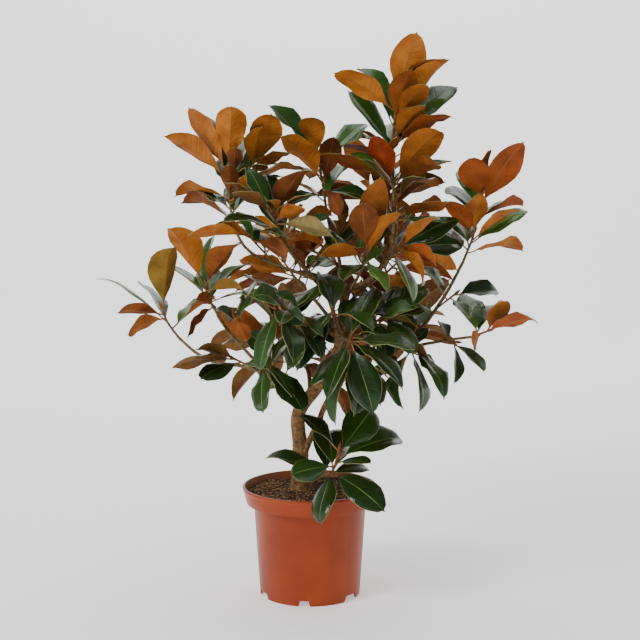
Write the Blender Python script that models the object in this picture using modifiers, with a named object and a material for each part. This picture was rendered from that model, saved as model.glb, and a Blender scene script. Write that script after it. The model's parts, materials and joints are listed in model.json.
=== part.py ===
"""Potted magnolia tree: a nursery pot, its root ball, a forked trunk, boughs and masses of large leaves.

Metres, +Z up. The origin is the centre of the pot's flat underside, and -Y is the tree's front.
Real sizes are driving dimensions below. Where a limb or a shoot stands is given as a place in the
front view: units across and down a square view of 640 units, and the real depth along Y in metres.
"""
import math
import random
from dataclasses import dataclass, replace
from functools import partial

import bmesh
import bpy
from mathutils import Vector
from mathutils.bvhtree import BVHTree

GAP = 0.0003

RIM_RADIUS = 0.120
POT_HEIGHT = 0.195
BAND_HEIGHT = 0.029
BAND_FOOT_RADIUS = 0.1135
BODY_TOP_RADIUS = 0.1000
FOOT_RADIUS = 0.0895
POT_WALL = 0.0026
LIP_WIDTH = 0.0045
STEP_DROP = 0.004
FLOOR_RISE = 0.0105
BOSS_RADIUS = 0.046
NOTCH_HEIGHT = 0.0102
NOTCH_ANGLES = (-6.0, 54.0, 114.0, 174.0, 234.0, 294.0)
NOTCH_WIDTHS = (0.021, 0.036)
NOTCH_TOP_SHARE = 0.72
NOTCH_FOOT_SHARE = 1.04
DRAIN_RADIUS = 0.005
DRAIN_RING = 0.064
POT_SEGMENTS = 40

SOIL_TOP = 0.186
SOIL_EDGE_DROP = 0.003
SOIL_FIT = 0.0005
SOIL_SEGMENTS = 32

VIEW_POINT = Vector((0.018, -2.415, 0.798))
VIEW_PITCH = math.radians(7.23)
VIEW_FOCUS = 1384.7
VIEW_CENTRE = 320.0

TRUNK_FOOT = Vector((-0.0155, 0.012, SOIL_TOP + GAP))
FLARE_GAIN = 0.42
FLARE_FALL = 0.014
TRUNK_GIRTH = (0.031, 0.0135)
SECOND_GIRTH = (0.0125, 0.0085)
SECOND_FORK = 0.12
TRUNK_BENDS = ((300, 446, 0.008), (299, 412, 0.004), (318, 386, 0.0), (334, 361, 0.0), (340, 338, 0.0),
               (343, 307, 0.005), (348, 289, 0.01))
SECOND_BENDS = ((311, 437, -0.006), (318, 424, -0.010), (326, 404, -0.010), (346, 376, 0.0),
                (372, 358, 0.008), (403, 347, 0.0))

LEAF_LENGTH = (0.118, 0.138)
LEAF_SHORTEST = 0.075
LEAF_SLACK = 1.30
LEAF_WIDTH = (0.44, 0.51)
LEAF_THICKNESS = 0.0026
PETIOLE_PART = 0.13
PETIOLE_HALF = 0.0013
LEAF_ROWS = ((0.43, 0.90), (0.76, 0.90))
REAR_LEAF_ROWS = ((0.58, 1.0),)
FIRST_LEAF_BACK = 0.003
LEAF_PITCH = 0.0070
SHOWN_SHARE = (0.62, 0.98)
TWIG_RADIUS = 0.0024
TWIG_ANGLE = math.radians(48)
ON_STEM = 0.012
ROOT_SET_OFF = 0.0010
LEAF_CLEARANCE = 0.0006
GOLDEN_ANGLE = math.radians(137.5)
TRIES = 24

PLASTIC = (0.36, 0.095, 0.035)
SOIL = (0.028, 0.014, 0.007)
BARK = (0.22, 0.13, 0.06)
GREEN_LEAF = (0.02, 0.07, 0.012)
RUST_LEAF = (0.42, 0.14, 0.02)

UP = Vector((0.0, 0.0, 1.0))
FRONT = Vector((0.0, -1.0, 0.0))


@dataclass(frozen=True)
class Limb:
    """One tapering limb: what it grows from, how far along that, its bends and its two diameters."""

    name: str
    parent: str
    start: float
    bends: tuple
    girth: tuple


@dataclass(frozen=True)
class Fan:
    """The leaves round one node. Each leaf is a bearing clockwise from upright and a reach in view units.

    Those under under show their rusty side to the front, those under top their green side, and rear
    and whorl count the leaves that spread by the golden angle, behind the node or all round it.
    """

    node: tuple
    under: tuple = ()
    top: tuple = ()
    rear: int = 0
    whorl: int = 0


@dataclass(frozen=True)
class Mass:
    """One mass of foliage: its stem's parent limb, where it starts, its bends and its fans of leaves."""

    name: str
    parent: str
    start: float
    stem: tuple
    fans: tuple
    girth: float = 0.0052
    seed: int = 0


@dataclass(frozen=True)
class Leaf:
    """A leaf's root, direction, upper side's facing and shape."""

    root: Vector
    along: Vector
    face: Vector
    length: float
    width: float
    fold: float
    curl: float
    sag: float
    rows: tuple


LIMBS = (
    Limb("bough_left", "trunk", 0.40,
         ((283, 384, -0.02), (250, 368, -0.03), (220, 363, -0.03), (198, 354, -0.03),
          (179, 338, -0.02)), (0.0085, 0.0048)),
    Limb("bough_left_middle", "bough_left", 0.33,
         ((246, 351, -0.035), (228, 331, -0.02), (212, 305, -0.01)), (0.0066, 0.0048)),
    Limb("bough_upper_left", "trunk", 0.76,
         ((330, 302, -0.02), (314, 279, -0.03), (294, 257, -0.055)), (0.0090, 0.0056)),
    Limb("bough_shoulder", "bough_upper_left", 0.70,
         ((266, 261, -0.03), (246, 248, -0.02), (236, 232, -0.01)), (0.0066, 0.0050)),
    Limb("bough_leader", "trunk", 1.0,
         ((368, 281, 0.01), (384, 264, 0.01), (391, 250, 0.01), (394, 226, 0.015), (394, 202, 0.02)),
         (0.0098, 0.0060)),
    Limb("bough_top_middle", "trunk", 0.86,
         ((340, 265, 0.05), (332, 236, 0.05), (327, 214, 0.045)), (0.0080, 0.0054)),
    Limb("bough_top_front", "trunk", 0.95,
         ((355, 282, -0.015), (360, 273, -0.03)), (0.0070, 0.0054)),
    Limb("bough_right_middle", "trunk", 0.72,
         ((358, 326, -0.015), (371, 322, -0.03)), (0.0080, 0.0056)),
    Limb("bough_front_left", "trunk", 0.62,
         ((314, 338, -0.055), (294, 324, -0.10)), (0.0078, 0.0054)),
    Limb("bough_front_low", "trunk", 0.67,
         ((343, 338, -0.05), (346, 339, -0.10)), (0.0072, 0.0054)),
    Limb("bough_rear_left", "trunk", 0.47,
         ((306, 367, 0.07), (284, 355, 0.14)), (0.0090, 0.0056)),
    Limb("bough_rear_middle_left", "trunk", 0.79,
         ((320, 306, 0.09), (299, 283, 0.15)), (0.0086, 0.0056)),
    Limb("bough_rear_middle_right", "trunk", 0.90,
         ((364, 288, 0.08), (385, 274, 0.14)), (0.0082, 0.0056)),
    Limb("bough_rear_top", "bough_leader", 0.62,
         ((388, 228, 0.07), (380, 214, 0.115)), (0.0066, 0.0052)),
    Limb("bough_rear_right", "stem_second", 0.55,
         ((366, 348, 0.08), (385, 336, 0.14)), (0.0082, 0.0056)),
    Limb("bough_right_tall", "stem_second", 1.0,
         ((425, 324, 0.0), (447, 292, 0.02), (463, 262, 0.03)), (0.0080, 0.0052)),
    Limb("bough_right_low", "stem_second", 0.93,
         ((425, 344, -0.03), (455, 339, -0.03), (471, 337, -0.035)), (0.0062, 0.0046)),
    Limb("shoot_basal", "trunk", 0.035,
         ((314, 480, -0.02), (322, 477, -0.045)), (0.0070, 0.0056)),
)

MASSES = (
    Mass("foliage_apex", "bough_leader", 1.0, ((393, 178, 0.02), (393, 140, 0.015), (396, 101, 0.01)), (
        Fan((396, 101, 0.01), ((17, 70, 1.0), (25, 68, 0.7), (-63, 66, 0.8), (49, 66, 0.6), (63, 35, 0.9),
                               (10, 38, 0.95)), ((-45, 50, 0.5), (74, 61, 0.7), (40, 30, 0.6)), 3),
        Fan((393, 140, 0.015), ((39, 48, 0.8), (64, 64, 0.5)), ((-42, 65, 0.55),), 3),
        Fan((393, 178, 0.02), ((35, 73, 0.97), (70, 50, 0.5), (-70, 74, 0.35), (-26, 46, 0.8)),
            ((-47, 54, 0.5), (73, 60, 0.3), (42, 60, 0.45)), 3),
    ), 0.0060, 1),
    Mass("foliage_upper_left", "bough_shoulder", 1.0, ((231, 211, 0.0), (229, 190, 0.0), (228, 168, 0.0)), (
        Fan((228, 168, 0.0), ((4, 64, 1.0), (-25, 74, 0.45), (-62, 70, 0.6)),
            ((-24, 62, 0.5), (38, 43, 0.6)), 3),
        Fan((230, 195, 0.0), ((0, 30, 1.0), (75, 30, 0.5), (36, 44, 0.7)),
            ((-85, 26, 0.4), (44, 61, 0.25)), 2),
        Fan((257, 168, 0.03), ((15, 58, 0.95), (4, 42, 0.8), (62, 36, 0.5)), (), 3),
    ), 0.0046, 2),
    Mass("foliage_top_middle", "bough_top_middle", 1.0, ((322, 180, 0.04), (318, 156, 0.03)), (
        Fan((318, 156, 0.03), ((-14, 43, 0.85),), ((-43, 69, 0.5), (64, 63, 0.45)), 3),
        Fan((322, 180, 0.04), ((-40, 60, 0.6), (36, 50, 1.0), (150, 40, 0.9)),
            ((126, 56, 0.5), (-128, 43, 0.5)), 3),
    ), 0.0048, 3),
    Mass("foliage_left_front", "bough_upper_left", 1.0, ((281, 236, -0.065), (274, 214, -0.07)), (
        Fan((274, 214, -0.07), ((32, 57, 0.7), (78, 30, 0.8), (112, 72, 0.6)),
            ((-18, 42, 0.8), (-94, 49, 0.35)), 3),
        Fan((296, 236, -0.085), (), ((50, 40, 0.4), (-60, 40, 0.5)), 1),
    ), 0.0048, 4),
    Mass("foliage_front_top", "bough_top_front", 1.0, ((367, 250, -0.07),), (
        Fan((367, 250, -0.07), ((-6, 46, 1.0), (10, 73, 0.8), (-80, 50, 0.6), (20, 55, 0.45)),
            ((150, 42, 0.6), (-140, 36, 0.6)), 2),
    ), 0.0050, 5),
    Mass("foliage_right_centre", "bough_leader", 0.50, ((402, 246, -0.03),), (
        Fan((402, 246, -0.03), ((48, 46, 0.5), (118, 38, 0.6), (148, 44, 0.5)),
            ((90, 60, 0.75), (62, 62, 0.6), (168, 54, 0.5)), 2),
        Fan((398, 214, -0.02), ((78, 50, 0.5),), ((95, 52, 0.4),), 2),
    ), 0.0046, 6),
    Mass("foliage_right_middle", "bough_right_middle", 1.0, ((393, 317, -0.06),), (
        Fan((393, 317, -0.06), (), ((15, 30, 0.5), (80, 38, 0.6), (-70, 34, 0.6), (-30, 38, 0.6),
                                    (150, 42, 0.8), (50, 46, 0.8), (-170, 40, 0.9)), 2),
    ), 0.0050, 7),
    Mass("foliage_right_tall", "bough_right_tall", 1.0, ((474, 233, 0.03), (481, 198, 0.02)), (
        Fan((481, 198, 0.02), ((-16, 44, 1.0), (-8, 55, 0.5), (36, 70, 0.85)), (), 3),
        Fan((474, 233, 0.03), ((6, 40, 0.95), (-37, 43, 0.7), (62, 56, 0.4)), ((50, 66, 0.6),), 3),
    ), 0.0048, 8),
    Mass("foliage_right_side", "bough_right_tall", 0.47, ((455, 294, 0.0),), (
        Fan((455, 294, 0.0), (), ((85, 45, 0.6), (150, 28, 0.6)), 1),
    ), 0.0034, 9),
    Mass("foliage_right_low", "bough_right_low", 1.0, ((488, 331, -0.04),), (
        Fan((488, 331, -0.04), ((32, 36, 0.7), (74, 52, 0.35), (-135, 22, 0.5)), (), 2),
    ), 0.0044, 10),
    Mass("foliage_right_hanging", "bough_right_low", 0.66, ((456, 342, -0.05),), (
        Fan((456, 342, -0.05), (), ((180, 40, 0.5), (138, 40, 0.45), (-40, 26, 0.5)), 1),
    ), 0.0036, 11),
    Mass("foliage_right_inner", "bough_right_low", 0.22, ((414, 352, -0.06),), (
        Fan((414, 352, -0.06), ((110, 18, 0.7),),
            ((144, 55, 0.5), (168, 58, 0.35), (30, 28, 0.7), (-162, 56, 0.5)), 2),
    ), 0.0040, 12),
    Mass("foliage_left_far", "bough_left", 1.0, ((168, 323, -0.02), (162, 309, -0.02)), (
        Fan((162, 311, -0.02), ((7, 68, 0.9), (-90, 44, 0.5), (-126, 41, 0.45)), ((-58, 72, 0.12),), 2),
    ), 0.0044, 13),
    Mass("foliage_left_middle", "bough_left_middle", 1.0, ((203, 282, -0.01),), (
        Fan((203, 282, -0.01), ((-30, 64, 0.9), (42, 52, 0.7), (-90, 74, 0.3), (98, 42, 0.4)),
            ((12, 46, 0.35), (68, 48, 0.4)), 3),
        Fan((214, 306, -0.03), ((-140, 42, 0.35), (-72, 20, 0.8)), (), 1),
    ), 0.0044, 14),
    Mass("foliage_left_upper", "bough_shoulder", 0.42, ((247, 234, -0.06),), (
        Fan((247, 234, -0.06), ((-92, 58, 0.35), (-86, 38, 0.6), (122, 50, 0.7)), ((-30, 28, 0.5),), 3),
    ), 0.0038, 15),
    Mass("foliage_left_low", "bough_left", 0.36, ((233, 358, -0.06),), (
        Fan((233, 358, -0.06), ((-96, 60, 0.4), (-74, 38, 0.5)), ((-122, 38, 0.6), (100, 34, 0.6)), 1),
    ), 0.0036, 16),
    Mass("foliage_left_inner", "bough_left_middle", 0.42, ((234, 316, -0.04),), (
        Fan((234, 316, -0.04), ((152, 30, 1.0),), ((-70, 20, 0.5), (30, 40, 0.5)), 1),
    ), 0.0034, 17),
    Mass("foliage_front_left", "bough_front_left", 1.0, ((277, 309, -0.14),), (
        Fan((277, 309, -0.14), (), ((-166, 66, 0.75), (160, 54, 0.7), (130, 32, 1.0), (60, 38, 0.5)), 2),
        Fan((300, 322, -0.11), (), ((-172, 46, 0.8), (152, 42, 0.7)), 1),
    ), 0.0048, 18),
    Mass("foliage_front_middle", "trunk", 0.80, ((333, 309, -0.10),), (
        Fan((333, 309, -0.10), (), ((-146, 34, 0.7), (-152, 72, 0.75), (-20, 34, 0.5), (118, 44, 0.5)), 1),
    ), 0.0044, 19),
    Mass("foliage_front_low", "bough_front_low", 1.0, ((351, 342, -0.17),), (
        Fan((351, 342, -0.17), (), ((162, 74, 1.0), (132, 70, 0.6), (94, 60, 0.35), (-158, 60, 0.6)), 1),
        Fan((352, 352, -0.12), (), ((-166, 74, 0.6), (175, 62, 0.8), (150, 60, 0.7), (-130, 50, 0.5)), 1),
    ), 0.0048, 20),
    Mass("foliage_left_drooping", "bough_left", 0.22, ((262, 362, -0.08),), (
        Fan((262, 362, -0.08), (), ((180, 48, 0.6), (140, 62, 0.7), (-168, 44, 0.4), (40, 40, 0.5)), 1),
    ), 0.0038, 21),
    Mass("foliage_basal", "shoot_basal", 1.0, ((333, 470, -0.085), (339, 449, -0.075)), (
        Fan((339, 449, -0.075), (), ((-46, 54, 0.4), (40, 53, 1.0), (78, 64, 0.7), (114, 34, 0.6),
                                    (-120, 53, 0.95)), 2),
        Fan((333, 470, -0.085), (), ((-164, 54, 0.85), (128, 64, 0.9), (84, 36, 0.7), (-79, 68, 0.6)), 1),
    ), 0.0048, 22),
    Mass("foliage_rear_left", "bough_rear_left", 1.0, ((268, 342, 0.20),), (
        Fan((268, 342, 0.20), whorl=8),
        Fan((290, 330, 0.15), whorl=5),
    ), 0.0048, 23),
    Mass("foliage_rear_right", "bough_rear_right", 1.0, ((400, 322, 0.20),), (
        Fan((400, 322, 0.20), whorl=8),
        Fan((376, 336, 0.15), whorl=5),
    ), 0.0048, 24),
    Mass("foliage_rear_middle_left", "bough_rear_middle_left", 1.0, ((284, 262, 0.21),), (
        Fan((284, 262, 0.21), whorl=8),
        Fan((306, 268, 0.17), whorl=5),
    ), 0.0048, 25),
    Mass("foliage_rear_middle_right", "bough_rear_middle_right", 1.0, ((402, 258, 0.21),), (
        Fan((402, 258, 0.21), whorl=8),
        Fan((380, 262, 0.17), whorl=5),
    ), 0.0048, 26),
    Mass("foliage_rear_top", "bough_rear_top", 1.0, ((372, 190, 0.17),), (
        Fan((372, 190, 0.17), whorl=8),
    ), 0.0046, 27),
)


def place(across, down, depth):
    """The point at a depth that the front view shows at this place."""
    aim = Vector((0.0, math.cos(VIEW_PITCH), -math.sin(VIEW_PITCH)))
    rise = Vector((0.0, math.sin(VIEW_PITCH), math.cos(VIEW_PITCH)))
    ray = aim * VIEW_FOCUS + Vector((across - VIEW_CENTRE, 0.0, 0.0)) + rise * (VIEW_CENTRE - down)
    return VIEW_POINT + ray * ((depth - VIEW_POINT.y) / ray.y)


class Line:
    """A smooth line through a few points, measured along its length."""

    def __init__(self, knots, steps):
        self.points = smooth(knots, steps)
        self.marks = [0.0]
        for one, two in zip(self.points, self.points[1:]):
            self.marks.append(self.marks[-1] + (two - one).length)
        self.length = self.marks[-1]

    def at(self, distance):
        """The point and the direction at a distance from the start, also past the end."""
        place_in = 1
        while place_in < len(self.points) - 1 and self.marks[place_in] < distance:
            place_in += 1
        one, two = self.points[place_in - 1], self.points[place_in]
        run = (two - one).normalized()
        return one + run * (distance - self.marks[place_in - 1]), run

    def nearest(self, point):
        """The distance along the line of the point on it that is closest to this one."""
        steps = 60
        spots = [self.length * step / steps for step in range(steps + 1)]
        return min(spots, key=lambda spot: (self.at(spot)[0] - point).length)


def smooth(knots, steps):
    """Points of a Catmull-Rom curve through the knots."""
    if len(knots) == 2:
        return [knots[0].lerp(knots[1], step / steps) for step in range(steps + 1)]
    ends = [knots[0] * 2 - knots[1]] + list(knots) + [knots[-1] * 2 - knots[-2]]
    points = []
    for one, two, three, four in zip(ends, ends[1:], ends[2:], ends[3:]):
        for step in range(steps):
            part = step / steps
            points.append(0.5 * (2 * two + (three - one) * part
                                 + (2 * one - 5 * two + 4 * three - four) * part ** 2
                                 + (3 * two - one - 3 * three + four) * part ** 3))
    points.append(knots[-1].copy())
    return points


def material(name, colour, roughness):
    """A Principled material of one colour."""
    made = bpy.data.materials.new(name)
    made.use_nodes = True
    shader = made.node_tree.nodes["Principled BSDF"]
    shader.inputs["Base Color"].default_value = (*colour, 1.0)
    shader.inputs["Roughness"].default_value = roughness
    shader.inputs["Metallic"].default_value = 0.0
    return made


def add_object(name, mesh, group, colour=(0.5, 0.5, 0.5), roughness=0.6):
    """A named object of this mesh in a collection, with a material of its own."""
    made = bpy.data.objects.new(name, mesh)
    group.objects.link(made)
    mesh.materials.clear()
    mesh.materials.append(material(name, colour, roughness))
    return made


def evaluated_mesh(item):
    """The mesh that an object's modifiers leave, as a mesh of its own."""
    bpy.context.view_layer.update()
    graph = bpy.context.evaluated_depsgraph_get()
    return bpy.data.meshes.new_from_object(item.evaluated_get(graph))


def welded(mesh):
    """The same mesh with its doubled points merged."""
    shape = bmesh.new()
    shape.from_mesh(mesh)
    bmesh.ops.remove_doubles(shape, verts=shape.verts, dist=0.000001)
    shape.to_mesh(mesh)
    shape.free()
    return mesh


def largest_piece(mesh):
    """Keep the mesh's largest shell, which fills sealed hollows and drops scraps."""
    shape = bmesh.new()
    shape.from_mesh(mesh)
    shells = []
    left = set(shape.verts)
    while left:
        front = [left.pop()]
        shell = list(front)
        while front:
            vert = front.pop()
            for edge in vert.link_edges:
                other = edge.other_vert(vert)
                if other in left:
                    left.remove(other)
                    front.append(other)
                    shell.append(other)
        shells.append(shell)
    shells.sort(key=len)
    for shell in shells[:-1]:
        bmesh.ops.delete(shape, geom=shell, context="VERTS")
    shape.to_mesh(mesh)
    shape.free()
    return mesh


def tube_mesh(points, radii, resolution):
    """A tube through the points as a closed mesh, from a curve with a bevel depth and filled caps."""
    curve = bpy.data.curves.new("tube", "CURVE")
    curve.dimensions = "3D"
    curve.bevel_depth = 1.0
    curve.bevel_resolution = resolution
    curve.use_fill_caps = True
    spline = curve.splines.new("POLY")
    spline.points.add(len(points) - 1)
    for spot, point, radius in zip(spline.points, points, radii):
        spot.co = (*point, 1.0)
        spot.radius = radius
    holder = bpy.data.objects.new("tube", curve)
    bpy.context.scene.collection.objects.link(holder)
    mesh = welded(evaluated_mesh(holder))
    bpy.data.objects.remove(holder)
    return mesh


def combined(item, group, operation):
    """Join or cut an object by a whole collection, and return the mesh that is left."""
    joint = item.modifiers.new("boolean", "BOOLEAN")
    joint.operation = operation
    joint.operand_type = "COLLECTION"
    joint.collection = group
    joint.solver = "EXACT"
    mesh = largest_piece(welded(evaluated_mesh(item)))
    item.modifiers.remove(joint)
    return mesh


def empty_out(group):
    """Remove every object of a collection."""
    for item in list(group.objects):
        bpy.data.objects.remove(item)


def rounded(mesh):
    """The same mesh shaded smooth but for its sharp edges."""
    mesh.shade_smooth()
    mesh.set_sharp_from_angle(angle=math.radians(35))
    return mesh


def tree_of(mesh):
    """The search tree of a mesh's faces."""
    points = [vert.co.copy() for vert in mesh.vertices]
    return BVHTree.FromPolygons(points, [tuple(face.vertices) for face in mesh.polygons])


def turned(name, profile, segments, group, colour, roughness):
    """A profile of radius and height turned about the Z axis."""
    outline = bpy.data.meshes.new(name)
    edges = [(step, step + 1) for step in range(len(profile) - 1)]
    outline.from_pydata([(radius, 0.0, height) for radius, height in profile], edges, [])
    item = add_object(name, outline, group, colour, roughness)
    screw = item.modifiers.new("turn", "SCREW")
    screw.steps = segments
    screw.render_steps = segments
    screw.use_merge_vertices = True
    screw.merge_threshold = 0.0001
    return item


def pot_inside():
    """The pot's inner profile from the middle of its floor to the top of its lip."""
    floor_top = FLOOR_RISE + POT_WALL
    step_height = POT_HEIGHT - BAND_HEIGHT
    return [
        (0.0, POT_WALL),
        (BOSS_RADIUS - 0.002, POT_WALL),
        (BOSS_RADIUS + 0.007, floor_top),
        (FOOT_RADIUS - POT_WALL - 0.002, floor_top),
        (FOOT_RADIUS - POT_WALL + 0.0005, floor_top + 0.004),
        (BODY_TOP_RADIUS - POT_WALL, step_height - STEP_DROP),
        (BODY_TOP_RADIUS - POT_WALL + 0.001, step_height + POT_WALL),
        (BAND_FOOT_RADIUS - POT_WALL, step_height + POT_WALL + 0.001),
        (RIM_RADIUS - LIP_WIDTH, POT_HEIGHT),
    ]


def pot_outside():
    """The pot's outer profile from its lip down to the middle of its underside."""
    step_height = POT_HEIGHT - BAND_HEIGHT
    return [
        (RIM_RADIUS - 0.0008, POT_HEIGHT),
        (RIM_RADIUS, POT_HEIGHT - 0.001),
        (RIM_RADIUS, POT_HEIGHT - 0.0045),
        (RIM_RADIUS - 0.0012, POT_HEIGHT - 0.0060),
        (BAND_FOOT_RADIUS, step_height),
        (BODY_TOP_RADIUS + 0.001, step_height),
        (BODY_TOP_RADIUS, step_height - 0.002),
        (FOOT_RADIUS, 0.0),
        (FOOT_RADIUS - POT_WALL, 0.0),
        (FOOT_RADIUS - POT_WALL, FLOOR_RISE),
        (BOSS_RADIUS + 0.009, FLOOR_RISE),
        (BOSS_RADIUS, 0.0),
        (0.0, 0.0),
    ]


def add_wedge(group, name, angle, width):
    """A cutter for one notch of the foot, narrower at its top, that leaves the middle alone."""
    shape = bmesh.new()
    bmesh.ops.create_cube(shape, size=1.0)
    for vert in shape.verts:
        top = vert.co.z > 0
        half = width * (NOTCH_TOP_SHARE if top else NOTCH_FOOT_SHARE) / 2
        vert.co.x = half if vert.co.x > 0 else -half
        vert.co.y = -(FOOT_RADIUS + 0.01) if vert.co.y < 0 else -(FOOT_RADIUS - POT_WALL - 0.006)
        vert.co.z = NOTCH_HEIGHT if top else -0.004
    mesh = bpy.data.meshes.new(name)
    shape.to_mesh(mesh)
    shape.free()
    cutter = add_object(name, mesh, group)
    cutter.rotation_euler.z = math.radians(angle)
    cutter.hide_render = True
    cutter.display_type = "WIRE"


def add_drain(group, name, angle):
    """A cutter for one round drain hole in the raised ring of the floor."""
    shape = bmesh.new()
    bmesh.ops.create_cone(shape, cap_ends=True, segments=8, radius1=DRAIN_RADIUS,
                          radius2=DRAIN_RADIUS, depth=POT_WALL * 4)
    mesh = bpy.data.meshes.new(name)
    shape.to_mesh(mesh)
    shape.free()
    cutter = add_object(name, mesh, group)
    turn = math.radians(angle)
    cutter.location = (DRAIN_RING * math.sin(turn), -DRAIN_RING * math.cos(turn), FLOOR_RISE + POT_WALL / 2)
    cutter.hide_render = True
    cutter.display_type = "WIRE"


def build_pot(group, cutters):
    """The round nursery pot with its band, notched foot, boss and drain holes."""
    profile = pot_inside() + pot_outside()
    pot = turned("pot", profile, POT_SEGMENTS, group, PLASTIC, 0.38)
    for count, angle in enumerate(NOTCH_ANGLES):
        add_wedge(cutters, f"notch_{count}", angle, NOTCH_WIDTHS[count % 3 != 0])
        add_drain(cutters, f"drain_{count}", angle + 30)
    pot.data = rounded(combined(pot, cutters, "DIFFERENCE"))
    pot.modifiers.clear()
    empty_out(cutters)
    return pot


def build_soil(group):
    """The root ball, a solid that fills the pot clear of its walls, floor and lip."""
    profile = [(0.0, SOIL_TOP), (0.062, SOIL_TOP), (0.100, SOIL_TOP - SOIL_EDGE_DROP)]
    inside = pot_inside()
    foot, lip = inside[-2], inside[-1]
    height = SOIL_TOP - SOIL_EDGE_DROP * 1.3
    part = (height - foot[1]) / (lip[1] - foot[1])
    profile.append((foot[0] + (lip[0] - foot[0]) * part - SOIL_FIT * 1.5, height))
    for radius, level in reversed(inside[:-1]):
        profile.append((max(radius - SOIL_FIT * 1.5, 0.0), level + SOIL_FIT))
    return turned("root_ball", profile, SOIL_SEGMENTS, group, SOIL, 0.95)


def taper(line, girth, power=0.8):
    """The radii along a line that thins from one diameter to another."""
    radii = []
    for mark in line.marks:
        part = (mark / line.length) ** power
        radii.append((girth[0] + (girth[1] - girth[0]) * part) / 2)
    return radii


class Tree:
    """What has grown so far: the limbs' lines and what new growth has to keep clear of."""

    def __init__(self, group, cutters):
        self.group = group
        self.cutters = cutters
        self.lines = {}
        self.tips = {}
        self.solids = []
        self.twigs = []
        self.blades = []

    def start_of(self, parent, start):
        """Where growth leaves its parent: on its line, or just past its tip."""
        line = self.lines[parent]
        if start < 1.0:
            return line.at(line.length * start)[0]
        point, run = line.at(line.length)
        return point + run * GAP

    def add_swollen(self, line, radii, resolution):
        """A copy of a limb, larger by the gap all round, that later limbs are cut by."""
        points = list(line.points)
        points[0] = line.at(-GAP)[0]
        points[-1] = line.at(line.length + GAP)[0]
        mesh = tube_mesh(points, [radius + GAP for radius in radii], resolution)
        add_object("swollen", mesh, self.cutters).hide_render = True

    def add_limb(self, name, line, radii, resolution, colour):
        """A limb's solid, cut clear of the limbs before it."""
        item = add_object(name, tube_mesh(line.points, radii, resolution), self.group, colour, 0.8)
        if len(self.cutters.objects):
            item.data = combined(item, self.cutters, "DIFFERENCE")
        rounded(item.data)
        self.add_swollen(line, radii, resolution)
        self.lines[name] = line
        self.solids.append(tree_of(item.data))


def grow_trunk(tree):
    """The trunk with its root flare, and the second stem that forks from it low down."""
    knots = [TRUNK_FOOT, TRUNK_FOOT + UP * 0.012] + [place(*spot) for spot in TRUNK_BENDS]
    line = Line(knots, 2)
    line.points[1].x, line.points[1].y = TRUNK_FOOT.x, TRUNK_FOOT.y
    radii = taper(line, TRUNK_GIRTH, 1.0)
    radii = [radius * (1 + FLARE_GAIN * math.exp(-mark / FLARE_FALL))
             for radius, mark in zip(radii, line.marks)]
    tree.add_limb("trunk", line, radii, 4, BARK)
    knots = [tree.start_of("trunk", SECOND_FORK)] + [place(*spot) for spot in SECOND_BENDS]
    line = Line(knots, 2)
    tree.add_limb("stem_second", line, taper(line, SECOND_GIRTH), 2, BARK)


def grow_limbs(tree):
    """Every bough from its parent, in the table's order."""
    for limb in LIMBS:
        knots = [tree.start_of(limb.parent, limb.start)] + [place(*spot) for spot in limb.bends]
        line = Line(knots, 2)
        tree.add_limb(limb.name, line, taper(line, limb.girth), 1, BARK)


def side_twig(stem, node, chance):
    """The line of a twig that leaves a stem at about half a right angle and bows up to a node."""
    spots = [stem.length * step / 24 for step in range(1, 24)]

    def slant(spot):
        point, run = stem.at(spot)
        return abs((node - point).angle(run) - TWIG_ANGLE)

    point, run = stem.at(min(spots, key=slant))
    reach = (node - point).length
    middle = point.lerp(node, 0.5) + run * reach * chance.uniform(0.06, 0.14)
    return Line([point, middle, node], 2)


def leaf_bend(leaf):
    """How far the leaf's tip bends off its straight line, as a share of its length."""
    return leaf.face * -leaf.curl - UP * leaf.sag


def leaf_point(leaf, part):
    """The middle line's point, direction and upward normal at a part of the leaf's length."""
    past = max(part - PETIOLE_PART, 0.0) / (1.0 - PETIOLE_PART)
    bend = leaf_bend(leaf)
    point = leaf.root + (leaf.along * part + bend * past ** 2) * leaf.length
    run = (leaf.along + bend * 2 * past).normalized()
    normal = (leaf.face - run * leaf.face.dot(run)).normalized()
    return point, run, normal


def leaf_ring(leaf, part, half_width, half_thick):
    """The four points of a leaf's section: left edge, upper midrib, right edge, lower midrib."""
    point, run, normal = leaf_point(leaf, part)
    side = run.cross(normal)
    reach = side * (half_width * math.cos(leaf.fold))
    rise = normal * (half_width * math.sin(leaf.fold))
    return [point - reach + rise, point + normal * half_thick, point + reach + rise,
            point - normal * half_thick]


def leaf_shape(leaf, swell=0.0):
    """A leaf as a closed loft through four-sided sections to a pointed tip."""
    half = LEAF_THICKNESS / 2 + swell
    stalk = PETIOLE_HALF + swell
    points = leaf_ring(leaf, 0.0, stalk, stalk)
    points += leaf_ring(leaf, PETIOLE_PART, stalk * 1.5, half)
    for part, share in leaf.rows:
        points += leaf_ring(leaf, part, leaf.width * leaf.length * share / 2 + swell, half)
    points.append(leaf_point(leaf, 1.0)[0])
    faces = [(0, 1, 2, 3)]
    rows = len(leaf.rows) + 1
    for row in range(rows):
        for corner in range(4):
            one, two = row * 4 + corner, row * 4 + (corner + 1) % 4
            faces.append((two, one, one + 4, two + 4))
    last = rows * 4
    for corner in range(4):
        faces.append((last + (corner + 1) % 4, last + corner, last + 4))
    return points, faces


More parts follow.
